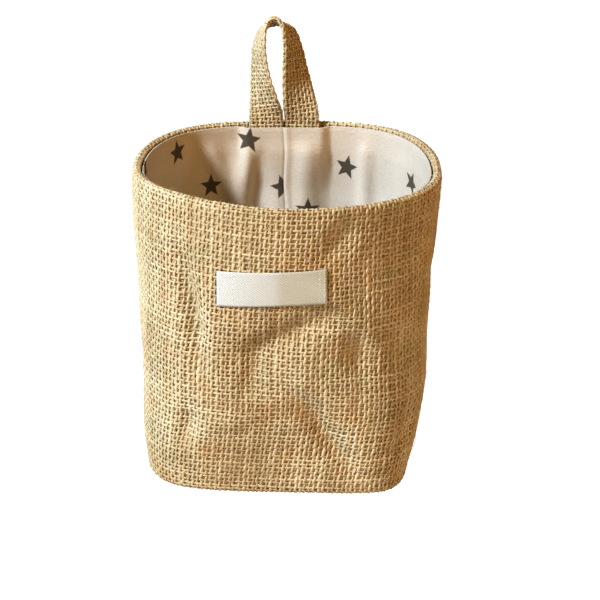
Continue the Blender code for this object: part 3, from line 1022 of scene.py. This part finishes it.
def base_weave(pitch_across, pitch_deep):
    """The yarns of the flat base, which end under the wall's lowest ones."""
    rng = np.random.default_rng(BASE_SEED)
    half = BASE_MAP_WIDTH / 2
    across = np.arange(-half, half, pitch_across / 2)
    deep = np.arange(-half, half, pitch_deep / 2)
    east, north = np.meshgrid(across, deep, indexing="ij")
    east = east + BASE_DRIFT * ripple(rng, *east.shape, BASE_STRIDE)
    north = north + BASE_DRIFT * ripple(rng, *north.shape, BASE_STRIDE)
    places = np.stack([east * MM, north * MM, np.zeros(east.shape)], axis=-1)
    outward = np.broadcast_to([0.0, 0.0, -1.0], places.shape)
    edge = jute_point(np.arange(OUTLINE_POINTS) / OUTLINE_POINTS, BASE_OVERLAP)[:, :2] / MM
    middle = edge.mean(axis=0)
    angle = np.arctan2(edge[:, 0] - middle[0], edge[:, 1] - middle[1])
    order = np.argsort(angle)
    reach = np.hypot(*(edge - middle).T)[order]
    own_angle = np.arctan2(east - middle[0], north - middle[1])
    limit = np.interp(own_angle, angle[order], reach, period=TURN)
    inside = np.hypot(east - middle[0], north - middle[1]) < limit
    return weave(rng, places, outward, inside, False, BASE_YARN, BASE_YARN)


def loop_weave(lengthwise, crosswise):
    """The yarns of the loop's band: lengthwise ones and those that go round it."""
    rng = np.random.default_rng(LOOP_SEED)
    share, place = woven_grid(rng, lengthwise, crosswise, LOOP_DRIFT)
    places = loop_point(share, place)
    outward = surface_normals(loop_point, share, place, 0.004, 0.003)
    inside = np.ones(share.shape, bool)
    return weave(rng, places, outward, inside, True, LOOP_LENGTHWISE, LOOP_CROSSWISE)


def stitch(point_at, start, end, steps, radius, tone):
    """One stitch over a surface, from one place on it to another, its ends sunk in the cloth."""
    part = np.linspace(0.0, 1.0, STITCH_STEPS + 1)
    u = start[0] + (end[0] - start[0]) * part
    v = start[1] + (end[1] - start[1]) * part
    middle = point_at(u, v)
    outward = surface_normals(point_at, u, v, *steps)
    lift = (np.sin(math.pi * part) ** 0.5 * (1 + STITCH_SINK) - STITCH_SINK) * radius
    return make_thread(middle + outward * lift[:, None], outward, radius, tone)


def hem_stitches(pitch, radius):
    """The thread that joins hem and lining, just below the rim inside."""
    rng = np.random.default_rng(STITCH_SEED)
    count = round(GIRTH / pitch)
    stitches = []
    for number in range(count):
        share = (number + rng.uniform(-0.08, 0.08)) / count
        run = HEM_SEAM_RUN + rng.uniform(-0.15, 0.15)
        end = (share + STITCH_COVER / count, run + rng.uniform(-0.12, 0.12))
        steps = (0.5 / GIRTH, 0.3)
        stitches.append(stitch(jute_point, (share, run), end, steps, radius, rng.uniform(0.3, 0.7)))
    return stitches


def label_stitches(radius):
    """The upright rows of white stitches at both ends of the label."""
    rng = np.random.default_rng(STITCH_SEED)
    stitches = []
    for away in LABEL_STITCH_ROWS:
        u = away / LABEL_LENGTH
        for number in range(LABEL_STITCHES):
            low = LABEL_STITCH_EDGE + (1 - 2 * LABEL_STITCH_EDGE) * number / LABEL_STITCHES
            high = low + STITCH_COVER * (1 - 2 * LABEL_STITCH_EDGE) / LABEL_STITCHES
            lean = rng.uniform(-0.006, 0.006)
            start, end = (u - lean, low), (u + lean, high)
            tone = rng.uniform(0.4, 0.9)
            stitches.append(stitch(label_front, start, end, (0.01, 0.03), radius, tone))
    return stitches


def stray_fibre(rng, point_at, u, v, span_u, span_v):
    """A hair that leaves the cloth at a place and curls back towards it."""
    length = rng.uniform(*FIBRE_LENGTHS)
    heading = rng.uniform(0, TURN)
    bend = rng.normal(0, 1.3)
    part = np.linspace(0.0, 1.0, FIBRE_STEPS + 1)
    turn = heading + bend * part
    step = length / FIBRE_STEPS
    right, up = (
        np.concatenate([[0.0], np.cumsum(way(turn[1:]) * step)]) for way in (np.cos, np.sin)
    )
    place_u, place_v = u + right * span_u, v + up * span_v
    outward = surface_normals(point_at, place_u, place_v, span_u * 0.5, span_v * 0.5)
    rise = rng.uniform(*FIBRE_RISES) * np.sin(math.pi * part * rng.uniform(0.5, 0.95)) + FIBRE_LIFT
    middle = point_at(place_u, place_v) + outward * rise[:, None] * MM
    return make_thread(middle, outward, rng.uniform(*FIBRE_RADII) * MM, rng.uniform(*FIBRE_TONES))


def stray_fibres(count):
    """The hairs that stand off the wall, the rim and the loop."""
    rng = np.random.default_rng(FIBRE_SEED)
    fibres = []
    for _ in range(count):
        run = rng.uniform(6, WOVEN_RUN - HEM_WOVEN - 4)
        fibres.append(stray_fibre(rng, jute_point, rng.uniform(), run, 1 / GIRTH, 1.0))
    for _ in range(count // LOOP_FIBRES_ONE_IN):
        u, v = rng.uniform(), rng.uniform(0.08, 0.92)
        fibres.append(stray_fibre(rng, loop_point, u, v, 1 / LOOP_ROUND, 1 / LOOP_LENGTH))
    return fibres


# Materials


class Value:
    """A shader socket that sums are written with: each operator adds a Math node."""

    def __init__(self, finish, socket):
        self.finish = finish
        self.socket = socket

    def __add__(self, other):
        return self.finish.math("ADD", self, other)

    def __sub__(self, other):
        return self.finish.math("SUBTRACT", self, other)

    def __rsub__(self, other):
        return self.finish.math("SUBTRACT", other, self)

    def __mul__(self, other):
        return self.finish.math("MULTIPLY", self, other)

    __radd__ = __add__
    __rmul__ = __mul__


class Finish:
    """A shader's nodes, written in Python. Colours are red, green and blue."""

    def __init__(self, tree):
        self.tree = tree

    def node(self, kind, settings=None, inputs=None, output=0):
        """Adds a node: its settings first, then the values or links of its sockets."""
        made = self.tree.nodes.new(kind)
        for name, setting in (settings or {}).items():
            if name == "stops":
                set_stops(made.color_ramp, setting)
            else:
                setattr(made, name, setting)
        for key, value in (inputs or {}).items():
            if isinstance(value, Value):
                self.tree.links.new(value.socket, made.inputs[key])
            else:
                made.inputs[key].default_value = value
        return Value(self, made.outputs[output])

    def math(self, operation, *values):
        """A Math node."""
        return self.node("ShaderNodeMath", {"operation": operation}, dict(enumerate(values)))

    def mix(self, factor, first, second, blend="MIX"):
        """A Mix node for colours."""
        settings = {"data_type": "RGBA", "blend_type": blend, "clamp_factor": True}
        first, second = (
            colour if isinstance(colour, Value) else (*colour, 1.0) for colour in (first, second)
        )
        inputs = {MIX_FACTOR: factor, MIX_FIRST: first, MIX_SECOND: second}
        return self.node("ShaderNodeMix", settings, inputs, MIX_COLOUR)

    def ramp(self, factor, stops):
        """A colour ramp; stops are (position, colour)."""
        return self.node("ShaderNodeValToRGB", {"stops": stops}, {"Fac": factor})

    def shades(self, factor, low, high, colour, dark):
        """A colour where the factor is high, and a darker share of it where the factor is low."""
        return self.ramp(factor, ((low, [part * dark for part in colour]), (high, colour)))

    def map(self, name):
        """One of the piece's own maps."""
        return self.node("ShaderNodeUVMap", {"uv_map": name})

    def object_place(self):
        """The place on the object, in metres."""
        return self.node("ShaderNodeTexCoord", output="Object")

    def tone(self):
        """The tone that a yarn's mesh stores at its vertices."""
        settings = {"attribute_type": "GEOMETRY", "attribute_name": "tone"}
        return self.node("ShaderNodeAttribute", settings, output="Fac")

    def parts(self, vector):
        """The X and Y of a vector."""
        split = self.node("ShaderNodeSeparateXYZ", inputs={"Vector": vector})
        return split, Value(self, split.socket.node.outputs["Y"])

    def noise(self, vector, scale, detail=2.0, roughness=0.5, stretch=None):
        """Noise from 0 to 1, its pattern stretched by a factor each way."""
        if stretch:
            settings = {"operation": "MULTIPLY"}
            vector = self.node("ShaderNodeVectorMath", settings, {0: vector, 1: (*stretch, 1.0)})
        inputs = {"Vector": vector, "Scale": scale, "Detail": detail, "Roughness": roughness}
        return self.node("ShaderNodeTexNoise", inputs=inputs)

    def step(self, value, low, high):
        """A soft step from 0 at low to 1 at high."""
        settings = {"interpolation_type": "SMOOTHSTEP", "clamp": True}
        inputs = {"Value": value, "From Min": low, "From Max": high}
        return self.node("ShaderNodeMapRange", settings, inputs)

    def wave(self, value, length=TURN):
        """A wave from 0 to 1 over a value, and how long the wave is."""
        return self.math("SINE", value * (TURN / length)) * 0.5 + 0.5


class Cloth(Finish):
    """A cloth material. What is the same all over it is set on its shader at the start."""

    def __init__(self, name, sheen=0.0):
        self.material = bpy.data.materials.new(name)
        self.material.use_nodes = True
        super().__init__(self.material.node_tree)
        self.shader = self.tree.nodes["Principled BSDF"]
        for socket, value in (("Specular IOR Level", 0.25), ("Sheen Weight", sheen)):
            self.shader.inputs[socket].default_value = value

    def done(self, colour, roughness, height, bump_depth, strength=1.0):
        """Links what changes over the cloth to its shader, and gives the material."""
        inputs = {"Height": height, "Distance": bump_depth * MM, "Strength": strength}
        normal = self.node("ShaderNodeBump", inputs=inputs)
        for socket, value in (("Base Color", colour), ("Roughness", roughness), ("Normal", normal)):
            self.tree.links.new(value.socket, self.shader.inputs[socket])
        return self.material


def set_stops(ramp, stops):
    """Sets a colour ramp's stops."""
    while len(ramp.elements) > 1:
        ramp.elements.remove(ramp.elements[-1])
    ramp.elements[0].position = stops[0][0]
    for position, _ in stops[1:]:
        ramp.elements.new(position)
    for element, (_, colour) in zip(ramp.elements, stops):
        element.color = (*colour, 1.0)


def jute_yarn_finish(jute):
    """Twisted jute: fibres along the yarn, straw to brown, in patches."""
    cloth = Cloth("jute_yarn", 0.15)
    along, around = cloth.parts(cloth.map(CLOTH_MAP))
    turned = {"X": along, "Y": around * 2.6 + along * YARN_TWIST}
    twisted = cloth.node("ShaderNodeCombineXYZ", inputs=turned)
    fibres = cloth.noise(twisted, 1.0, 3.0, 0.62, stretch=(0.9, 5.0))
    strands = cloth.noise(twisted, 1.0, stretch=(0.25, 2.2))
    where = cloth.object_place()
    patches = cloth.noise(where, 26.0)
    hue = cloth.noise(where, 60.0, 1.0)
    shade = 0.50 * cloth.tone() + 0.55 * fibres + 0.30 * strands + 0.45 * patches - 0.42
    stops = ((0.12, jute.deep), (0.36, jute.brown), (0.60, jute.straw), (0.86, jute.pale))
    colour = cloth.ramp(shade, stops)
    colour = cloth.mix(cloth.step(hue, 0.56, 0.74) * 0.5, colour, JUTE_GREY, "MULTIPLY")
    colour = cloth.mix(cloth.step(hue, 0.44, 0.28) * 0.5, colour, JUTE_RUST, "MULTIPLY")
    return cloth.done(colour, 0.72 + 0.22 * fibres, fibres * 0.7 + strands * 0.3, 0.25, 0.8)


def jute_ground_finish(jute):
    """The brown cloth between the yarns, with loose fibres in it and darker blotches of painted shade
    deep in the holes.
    """
    cloth = Cloth("jute_ground")
    where = cloth.object_place()
    fibres = cloth.noise(where, 1400.0, 3.0, 0.6)
    # The darker blotches are painted shade deep in the holes between the yarns; the lighter ones are
    # loose fibres
    shade = fibres * 0.5 + cloth.noise(where, 330.0) * 0.5
    colour = cloth.shades(shade, 0.38, 0.62, jute.ground, 0.42)
    return cloth.done(colour, 0.85 + 0.1 * fibres, fibres, 0.2)


def fine_weave(cloth, place, pitch_across, pitch_up):
    """The height of a fine plain weave from 0 to 1, with its slubs, over a map in millimetres."""
    across, up = cloth.parts(place)
    wide, high = cloth.wave(across, pitch_across), cloth.wave(up, pitch_up)
    slubs_across = cloth.noise(place, 1.0, 3.0, 0.6, stretch=(0.16, 1.7))
    slubs_up = cloth.noise(place, 1.0, 3.0, 0.6, stretch=(1.5, 0.2))
    threads = cloth.math("MAXIMUM", wide * 0.9, high)
    grain = cloth.noise(place, 1.1, 2.0, 0.6)
    return threads * 0.35 + slubs_across * 0.30 + slubs_up * 0.20 + grain * 0.40 - 0.08


def lining_finish(lining):
    """Slubby off-white linen and cotton, printed with small dark stars, darker between its threads as
    painted shade.
    """
    cloth = Cloth("lining_cloth", 0.1)
    place = cloth.map(CLOTH_MAP)
    height = fine_weave(cloth, place, 0.55, 0.6)
    mottle = cloth.noise(cloth.object_place(), 45.0)
    # Darker where the weave lies low: painted shade between the threads, along with the slubs' and the
    # grain's own tone
    colour = cloth.shades(height * 0.85 + mottle * 0.15, 0.34, 0.64, lining.cloth, 0.66)
    flecks = cloth.noise(place, 1.0, stretch=(0.5, 3.0))
    colour = cloth.mix(cloth.step(flecks, 0.66, 0.74) * 0.45, colour, LINING_FLECK, "MULTIPLY")
    ink = cloth.mix(cloth.step(height, 0.4, 0.8) * 0.5, lining.star, STAR_WORN)
    colour = cloth.mix(star_mask(cloth, height) * 0.94, colour, ink)
    return cloth.done(colour, 0.94 - 0.14 * height, height, 0.4, 0.9)


def star_mask(cloth, weave_height):
    """1 inside the printed star, 0 outside, with an edge as rough as the cloth."""
    right, up = cloth.parts(cloth.map(PRINT_MAP))
    far = cloth.math("SQRT", right * right + up * up)
    sector = math.pi / STAR_POINTS
    folded = cloth.math("PINGPONG", cloth.math("ARCTAN2", right, up), sector)
    # The straight edge from the tip, 1 from the middle, to the waist
    edge_x = STAR_WAIST * math.sin(sector)
    edge_y = 1 - STAR_WAIST * math.cos(sector)
    long = math.hypot(edge_x, edge_y)
    east = far * cloth.math("COSINE", folded)
    north = far * cloth.math("SINE", folded)
    beyond = (east - 1) * (edge_x / long) + north * (edge_y / long)
    frayed = beyond + (weave_height - 0.5) * STAR_FRAY
    return cloth.step(frayed, STAR_SPREAD + STAR_SOFT, STAR_SPREAD - STAR_SOFT)


def label_finish(label):
    """Smooth off-white cotton twill, darker in its grooves as painted shade."""
    cloth = Cloth("label_tape", 0.15)
    place = cloth.map(CLOTH_MAP)
    across, up = cloth.parts(place)
    threads = cloth.noise(place, 1.0, 3.0, 0.6, stretch=(0.5, 3.0))
    height = cloth.wave(across + up * 1.3, TWILL_PITCH) * 0.6 + threads * 0.4
    aged = cloth.step(across, *(share * LABEL_LENGTH for share in LABEL_AGED_FROM))
    # Darker in the twill's grooves: painted shade, with the threads' own streaks
    colour = cloth.shades(height, 0.15, 0.7, label.cloth, 0.72)
    colour = cloth.mix(aged, colour, LABEL_AGED, "MULTIPLY")
    return cloth.done(colour, 0.80 - 0.16 * height, height, 0.12, 0.7)


def thread_finish(name, tint):
    """Two-ply sewing thread, darker between its plies as painted shade."""
    cloth = Cloth(name, 0.2)
    along, around = cloth.parts(cloth.map(CLOTH_MAP))
    ply = cloth.wave(along * 9.0 + around * TURN)
    # Darker between the plies: painted shade, with each stitch's own random tone
    colour = cloth.shades(ply * 0.6 + cloth.tone() * 0.4, 0.1, 0.8, tint, 0.72)
    return cloth.done(colour, 0.75 - 0.2 * ply, ply, 0.08)


def fibre_finish(jute):
    """Single jute hairs."""
    cloth = Cloth("jute_fibre", 0.3)
    worn = cloth.noise(cloth.map(CLOTH_MAP), 1.2)
    colour = cloth.ramp(cloth.tone() * 0.7 + worn * 0.3, ((0.2, jute.brown), (0.75, jute.pale)))
    return cloth.done(colour, 0.55 + 0.2 * worn, worn, 0.03)


def floor_finish(stage):
    """Plain pale paper, which glows where the camera sees it."""
    paper = Cloth("floor_paper")
    grain = paper.noise(paper.object_place(), 900.0)
    colour = paper.shades(grain, 0.3, 0.7, stage.floor, 0.985)
    material = paper.done(colour, 0.88 + 0.05 * grain, grain, 0.05, 0.2)
    glow = paper.node("ShaderNodeEmission", inputs={"Strength": FLOOR_GLOW_STRENGTH})
    seen = paper.node("ShaderNodeLightPath", output="Is Camera Ray")
    lit = Value(paper, paper.shader.outputs["BSDF"])
    both = paper.node("ShaderNodeMixShader", inputs={0: seen * FLOOR_GLOW, 1: lit, 2: glow})
    paper.tree.links.new(both.socket, paper.tree.nodes["Material Output"].inputs["Surface"])
    return material


def shared(name, make, settings):
    """A material that several pieces have, made when it is first asked for."""
    return bpy.data.materials.get(name) or make(settings)


# Sizes and colours that a user may change


def setting(kind, **limits):
    """A function that gives one kind of setting its name, description and default."""

    def make(name, description, default):
        return kind(name=name, description=description, default=default, **limits)

    return make


length_prop = setting(bpy.props.FloatProperty, min=0.0, subtype="DISTANCE", unit="LENGTH")
power_prop = setting(bpy.props.FloatProperty, min=0.0, subtype="POWER", unit="POWER")
lens_prop = setting(bpy.props.FloatProperty, min=1.0, unit="CAMERA")
strength_prop = setting(bpy.props.FloatProperty, min=0.0)
count_prop = setting(bpy.props.IntProperty, min=1)
colour_prop = setting(bpy.props.FloatVectorProperty, size=3, min=0.0, max=1.0, subtype="COLOR")


class JuteSettings(bpy.types.PropertyGroup):
    """The jute of the bag and its loop."""

    upright_yarns: count_prop("Upright yarns", "Yarns that run up the wall, an even number", 200)
    level_yarns: count_prop("Level yarns", "Yarns that go round the wall and hem", 74)
    loop_lengthwise: count_prop("Loop lengthwise", "Yarns round the loop's band, an even number", 18)
    loop_crosswise: count_prop("Loop crosswise", "Yarns across the loop's band", 66)
    base_pitch_across: length_prop("Base pitch across", "Distance between yarns in the base", 2.43 * MM)
    base_pitch_deep: length_prop("Base pitch deep", "Distance between crossing yarns", 2.3 * MM)
    fibres: count_prop("Stray fibres", "Hairs that stand off the wall and rim", 900)
    hem_stitch: length_prop("Hem stitch", "Distance between stitches along the hem", 3.0 * MM)
    deep: colour_prop("Deep", "Darkest fibres", (0.29, 0.185, 0.085))
    brown: colour_prop("Brown", "Darker yarns", (0.44, 0.345, 0.205))
    straw: colour_prop("Straw", "Usual yarns", (0.58, 0.515, 0.36))
    pale: colour_prop("Pale", "Lightest fibres", (0.70, 0.66, 0.54))
    ground: colour_prop("Between yarns", "The cloth seen between yarns", (0.60, 0.50, 0.32))
    thread: colour_prop("Hem thread", "The thread that sews the hem", (0.66, 0.52, 0.32))


class LiningSettings(bpy.types.PropertyGroup):
    """The printed lining."""

    thickness: length_prop("Thickness", "Thickness of the lining's cloth", LINING_THICK * MM)
    star_reach: length_prop("Star reach", "From a star's middle to its tips", 6.3 * MM)
    cloth: colour_prop("Cloth", "Undyed linen and cotton", (0.67, 0.63, 0.56))
    star: colour_prop("Stars", "Printed stars", (0.050, 0.040, 0.028))


class LabelSettings(bpy.types.PropertyGroup):
    """The bare label and its stitches."""

    thickness: length_prop("Thickness", "Thickness of the label's tape", LABEL_THICK * MM)
    stitch_radius: length_prop("Stitch radius", "Half the sewing thread's width", 0.34 * MM)
    cloth: colour_prop("Tape", "Off-white cotton tape", (0.58, 0.61, 0.61))
    thread: colour_prop("Thread", "White sewing thread", (0.78, 0.79, 0.78))


class StageSettings(bpy.types.PropertyGroup):
    """Camera, lights and floor."""

    lens: lens_prop("Lens", "The camera's focal length", 132.8)
    distance: length_prop("Camera distance", "From the bag's middle to the camera", 1.105)
    key_power: power_prop("Key power", "The main light from the left", 81.0)
    fill_power: power_prop("Fill power", "The warm light from the right", 16.5)
    sky: strength_prop("Sky", "Strength of the even light from all round", 0.04)
    floor: colour_prop("Floor", "Pale paper", (0.80, 0.77, 0.72))


# Stage


def aim(thing, turn, rise, distance):
    """Points a camera or light at the bag, from a direction in degrees and a distance."""
    turn, rise = math.radians(turn), math.radians(rise)
    level = distance * math.cos(rise)
    away = Vector((level * math.sin(turn), -level * math.cos(turn), distance * math.sin(rise)))
    thing.location = Vector(CAMERA_AIM) * MM + away
    thing.rotation_euler = (-away).to_track_quat("-Z", "Y").to_euler()


def add_light(name, light, power):
    """A square area light that looks at the bag."""
    lamp = bpy.data.lights.new(name, "AREA")
    lamp.energy = power
    lamp.size = light.size
    lamp.color = light.colour
    aim(add_object(name, lamp), light.turn, light.rise, light.distance)


def add_sky(strength):
    """Even light from all round, behind a white backdrop."""
    world = bpy.data.worlds.new("studio")
    world.use_nodes = True
    sky = Finish(world.node_tree)
    seen = sky.node("ShaderNodeLightPath", output="Is Camera Ray")
    shine = sky.mix(seen, [strength * part for part in SKY_TINT], (1.0, 1.0, 1.0))
    sky.tree.links.new(shine.socket, sky.tree.nodes["Background"].inputs["Color"])
    bpy.context.scene.world = world


def add_camera(stage):
    """The camera, square to the bag's front and a little above it."""
    camera = bpy.data.cameras.new("camera")
    camera.lens = stage.lens
    camera.sensor_width = SENSOR_WIDTH
    placed = add_object("camera", camera)
    aim(placed, 0.0, CAMERA_DOWN, stage.distance)
    bpy.context.scene.camera = placed


# Operators


class BAG_OT_weave_wall(bpy.types.Operator):
    """Weaves the wall, the rim and the hem from their own yarns"""

    bl_idname = "bag.weave_wall"
    bl_label = "Weave Wall"

    def execute(self, context):
        jute = context.scene.bag_jute
        finish = shared("jute_yarn", jute_yarn_finish, jute)
        uprights, levels = wall_weave(jute.upright_yarns, jute.level_yarns)
        for kind, yarns in (("uprights", uprights), ("levels", levels)):
            half = len(yarns) // 2
            for part, share in enumerate((yarns[:half], yarns[half:]), 1):
                add_yarns(f"jute_{kind}_{part}", share, YARN_SIDES, finish)
        return {"FINISHED"}


class BAG_OT_weave_base(bpy.types.Operator):
    """Weaves the flat base"""

    bl_idname = "bag.weave_base"
    bl_label = "Weave Base"

    def execute(self, context):
        jute = context.scene.bag_jute
        across, deep = base_weave(jute.base_pitch_across / MM, jute.base_pitch_deep / MM)
        finish = shared("jute_yarn", jute_yarn_finish, jute)
        add_yarns("jute_base_yarns", across + deep, BASE_SIDES, finish)
        return {"FINISHED"}


class BAG_OT_stitch_hem(bpy.types.Operator):
    """Sews the hem and the lining together under the rim"""

    bl_idname = "bag.stitch_hem"
    bl_label = "Stitch Hem"

    def execute(self, context):
        jute = context.scene.bag_jute
        stitches = hem_stitches(jute.hem_stitch / MM, HEM_STITCH_RADIUS * MM)
        finish = thread_finish("hem_thread", jute.thread)
        add_yarns("hem_stitches", stitches, STITCH_SIDES, finish)
        return {"FINISHED"}


class BAG_OT_stray_fibres(bpy.types.Operator):
    """Lets single hairs stand off the jute"""

    bl_idname = "bag.stray_fibres"
    bl_label = "Stray Fibres"

    def execute(self, context):
        jute = context.scene.bag_jute
        fibres = stray_fibres(jute.fibres)
        add_yarns("stray_fibres", fibres, FIBRE_SIDES, fibre_finish(jute))
        return {"FINISHED"}


class BAG_OT_jute_ground(bpy.types.Operator):
    """Lays the brown ground cloth that shows between the yarns"""

    bl_idname = "bag.jute_ground"
    bl_label = "Jute Ground"

    def execute(self, context):
        jute = context.scene.bag_jute
        shares = np.arange(GROUND_AROUND) / GROUND_AROUND
        runs = np.linspace(0.0, WOVEN_RUN, round(WOVEN_RUN / GROUND_STEP))
        share, run = np.meshgrid(shares, runs)
        outward = jute_normals(share, run)
        rings = jute_point(share, run) - outward * GROUND_DEPTH * MM
        rings = cup_rings(rings, BASE_SCALES)
        mesh = pouch_mesh("jute_ground", rings, len(BASE_SCALES), shares, runs)
        finish = shared("jute_ground", jute_ground_finish, jute)
        ground = add_piece("jute_ground", mesh, finish)
        thicken(ground, GROUND_THICK, -1.0)
        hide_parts("jute_shell")
        return {"FINISHED"}


class BAG_OT_hanging_loop(bpy.types.Operator):
    """Weaves the hanging loop's folded band round its ground cloth"""

    bl_idname = "bag.hanging_loop"
    bl_label = "Hanging Loop"

    def execute(self, context):
        jute = context.scene.bag_jute
        lengthwise, crosswise = loop_weave(jute.loop_lengthwise, jute.loop_crosswise)
        finish = shared("jute_yarn", jute_yarn_finish, jute)
        yarns = add_yarns("loop_yarns", lengthwise + crosswise, YARN_SIDES, finish)
        finish = shared("jute_ground", jute_ground_finish, jute)
        ground = add_piece("loop_ground", loop_ground_mesh("loop_ground"), finish)
        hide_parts("hanging_loop")
        return {"FINISHED"}


class BAG_OT_lining(bpy.types.Operator):
    """Hangs the printed lining inside"""

    bl_idname = "bag.lining"
    bl_label = "Lining"

    def execute(self, context):
        lining = context.scene.bag_lining
        shares = lining_shares()
        top = LINING_TOP + EDGE_RUN - BASE_EDGE_RADIUS
        runs = np.linspace(0.0, top - LIP_HEIGHT, round(top / LINING_STEP))
        runs = np.concatenate([runs, np.linspace(top - LIP_HEIGHT, top, LIP_STEPS + 1)[1:]])
        share, run = np.meshgrid(shares, runs)
        rings = cup_rings(lining_point(share, run), BASE_SCALES)
        mesh = pouch_mesh("lining_cloth", rings, len(BASE_SCALES), shares, runs)
        print_map(mesh, lining.star_reach / MM)
        cloth = add_piece("lining_cloth", mesh, lining_finish(lining))
        thicken(cloth, lining.thickness / MM, -1.0)
        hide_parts("lining")
        return {"FINISHED"}


class BAG_OT_label(bpy.types.Operator):
    """Sews the bare label to the front"""

    bl_idname = "bag.label"
    bl_label = "Label"

    def execute(self, context):
        label = context.scene.bag_label
        stitches = label_stitches(label.stitch_radius)
        thread = thread_finish("label_thread", label.thread)
        stitches = add_yarns("label_stitches", stitches, STITCH_SIDES, thread)
        mesh = strip_mesh("label_tape", label_point, *LABEL_STEPS, LABEL_LENGTH, LABEL_WIDTH)
        tape = add_piece("label_tape", mesh, label_finish(label))
        thicken(tape, label.thickness / MM, 1.0)
        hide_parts("label")
        return {"FINISHED"}


class BAG_OT_stage(bpy.types.Operator):
    """Sets up the floor, the lights, the even sky and the camera"""

    bl_idname = "bag.stage"
    bl_label = "Stage"

    def execute(self, context):
        stage = context.scene.bag_stage
        cage = bmesh.new()
        steps = {"x_segments": FLOOR_STEPS, "y_segments": FLOOR_STEPS}
        bmesh.ops.create_grid(cage, **steps, size=FLOOR_HALF_WIDTH)
        mesh = new_mesh("floor", cage)
        mesh.materials.append(floor_finish(stage))
        add_object("floor", mesh)
        add_light("key_light", KEY, stage.key_power)
        add_light("fill_light", FILL, stage.fill_power)
        add_sky(stage.sky)
        add_camera(stage)
        context.scene.view_settings.view_transform = "Standard"
        context.scene.view_settings.gamma = PICTURE_GAMMA
        return {"FINISHED"}


class BAG_PT_panel(bpy.types.Panel):
    """Lists the bag's pieces and their settings"""

    bl_idname = "BAG_PT_panel"
    bl_label = "Bag"
    bl_space_type = "VIEW_3D"
    bl_region_type = "UI"
    bl_category = "Bag"

    def draw(self, context):
        for operator in OPERATORS:
            self.layout.operator(operator.bl_idname)
        for name in SETTINGS:
            group = getattr(context.scene, name)
            box = self.layout.box()
            for prop in group.bl_rna.properties:
                if prop.identifier not in ("rna_type", "name"):
                    box.prop(group, prop.identifier)


SETTINGS = {
    "bag_jute": JuteSettings,
    "bag_lining": LiningSettings,
    "bag_label": LabelSettings,
    "bag_stage": StageSettings,
}
OPERATORS = (
    BAG_OT_weave_wall,
    BAG_OT_weave_base,
    BAG_OT_stitch_hem,
    BAG_OT_stray_fibres,
    BAG_OT_jute_ground,
    BAG_OT_hanging_loop,
    BAG_OT_lining,
    BAG_OT_label,
    BAG_OT_stage,
)
CLASSES = (*SETTINGS.values(), *OPERATORS, BAG_PT_panel)


def register():
    """Registers the classes and their settings."""
    for made in CLASSES:
        bpy.utils.register_class(made)
    for name, group in SETTINGS.items():
        setattr(bpy.types.Scene, name, bpy.props.PointerProperty(type=group))


def unregister():
    """Takes the settings and the classes away again."""
    for name in SETTINGS:
        delattr(bpy.types.Scene, name)
    for made in reversed(CLASSES):
        bpy.utils.unregister_class(made)


def main():
    """Builds the bag and its stage."""
    register()
    bpy.ops.bag.weave_wall()
    bpy.ops.bag.weave_base()
    bpy.ops.bag.stitch_hem()
    bpy.ops.bag.stray_fibres()
    bpy.ops.bag.jute_ground()
    bpy.ops.bag.hanging_loop()
    bpy.ops.bag.lining()
    bpy.ops.bag.label()
    bpy.ops.bag.stage()


if __name__ == "__main__":
    main()
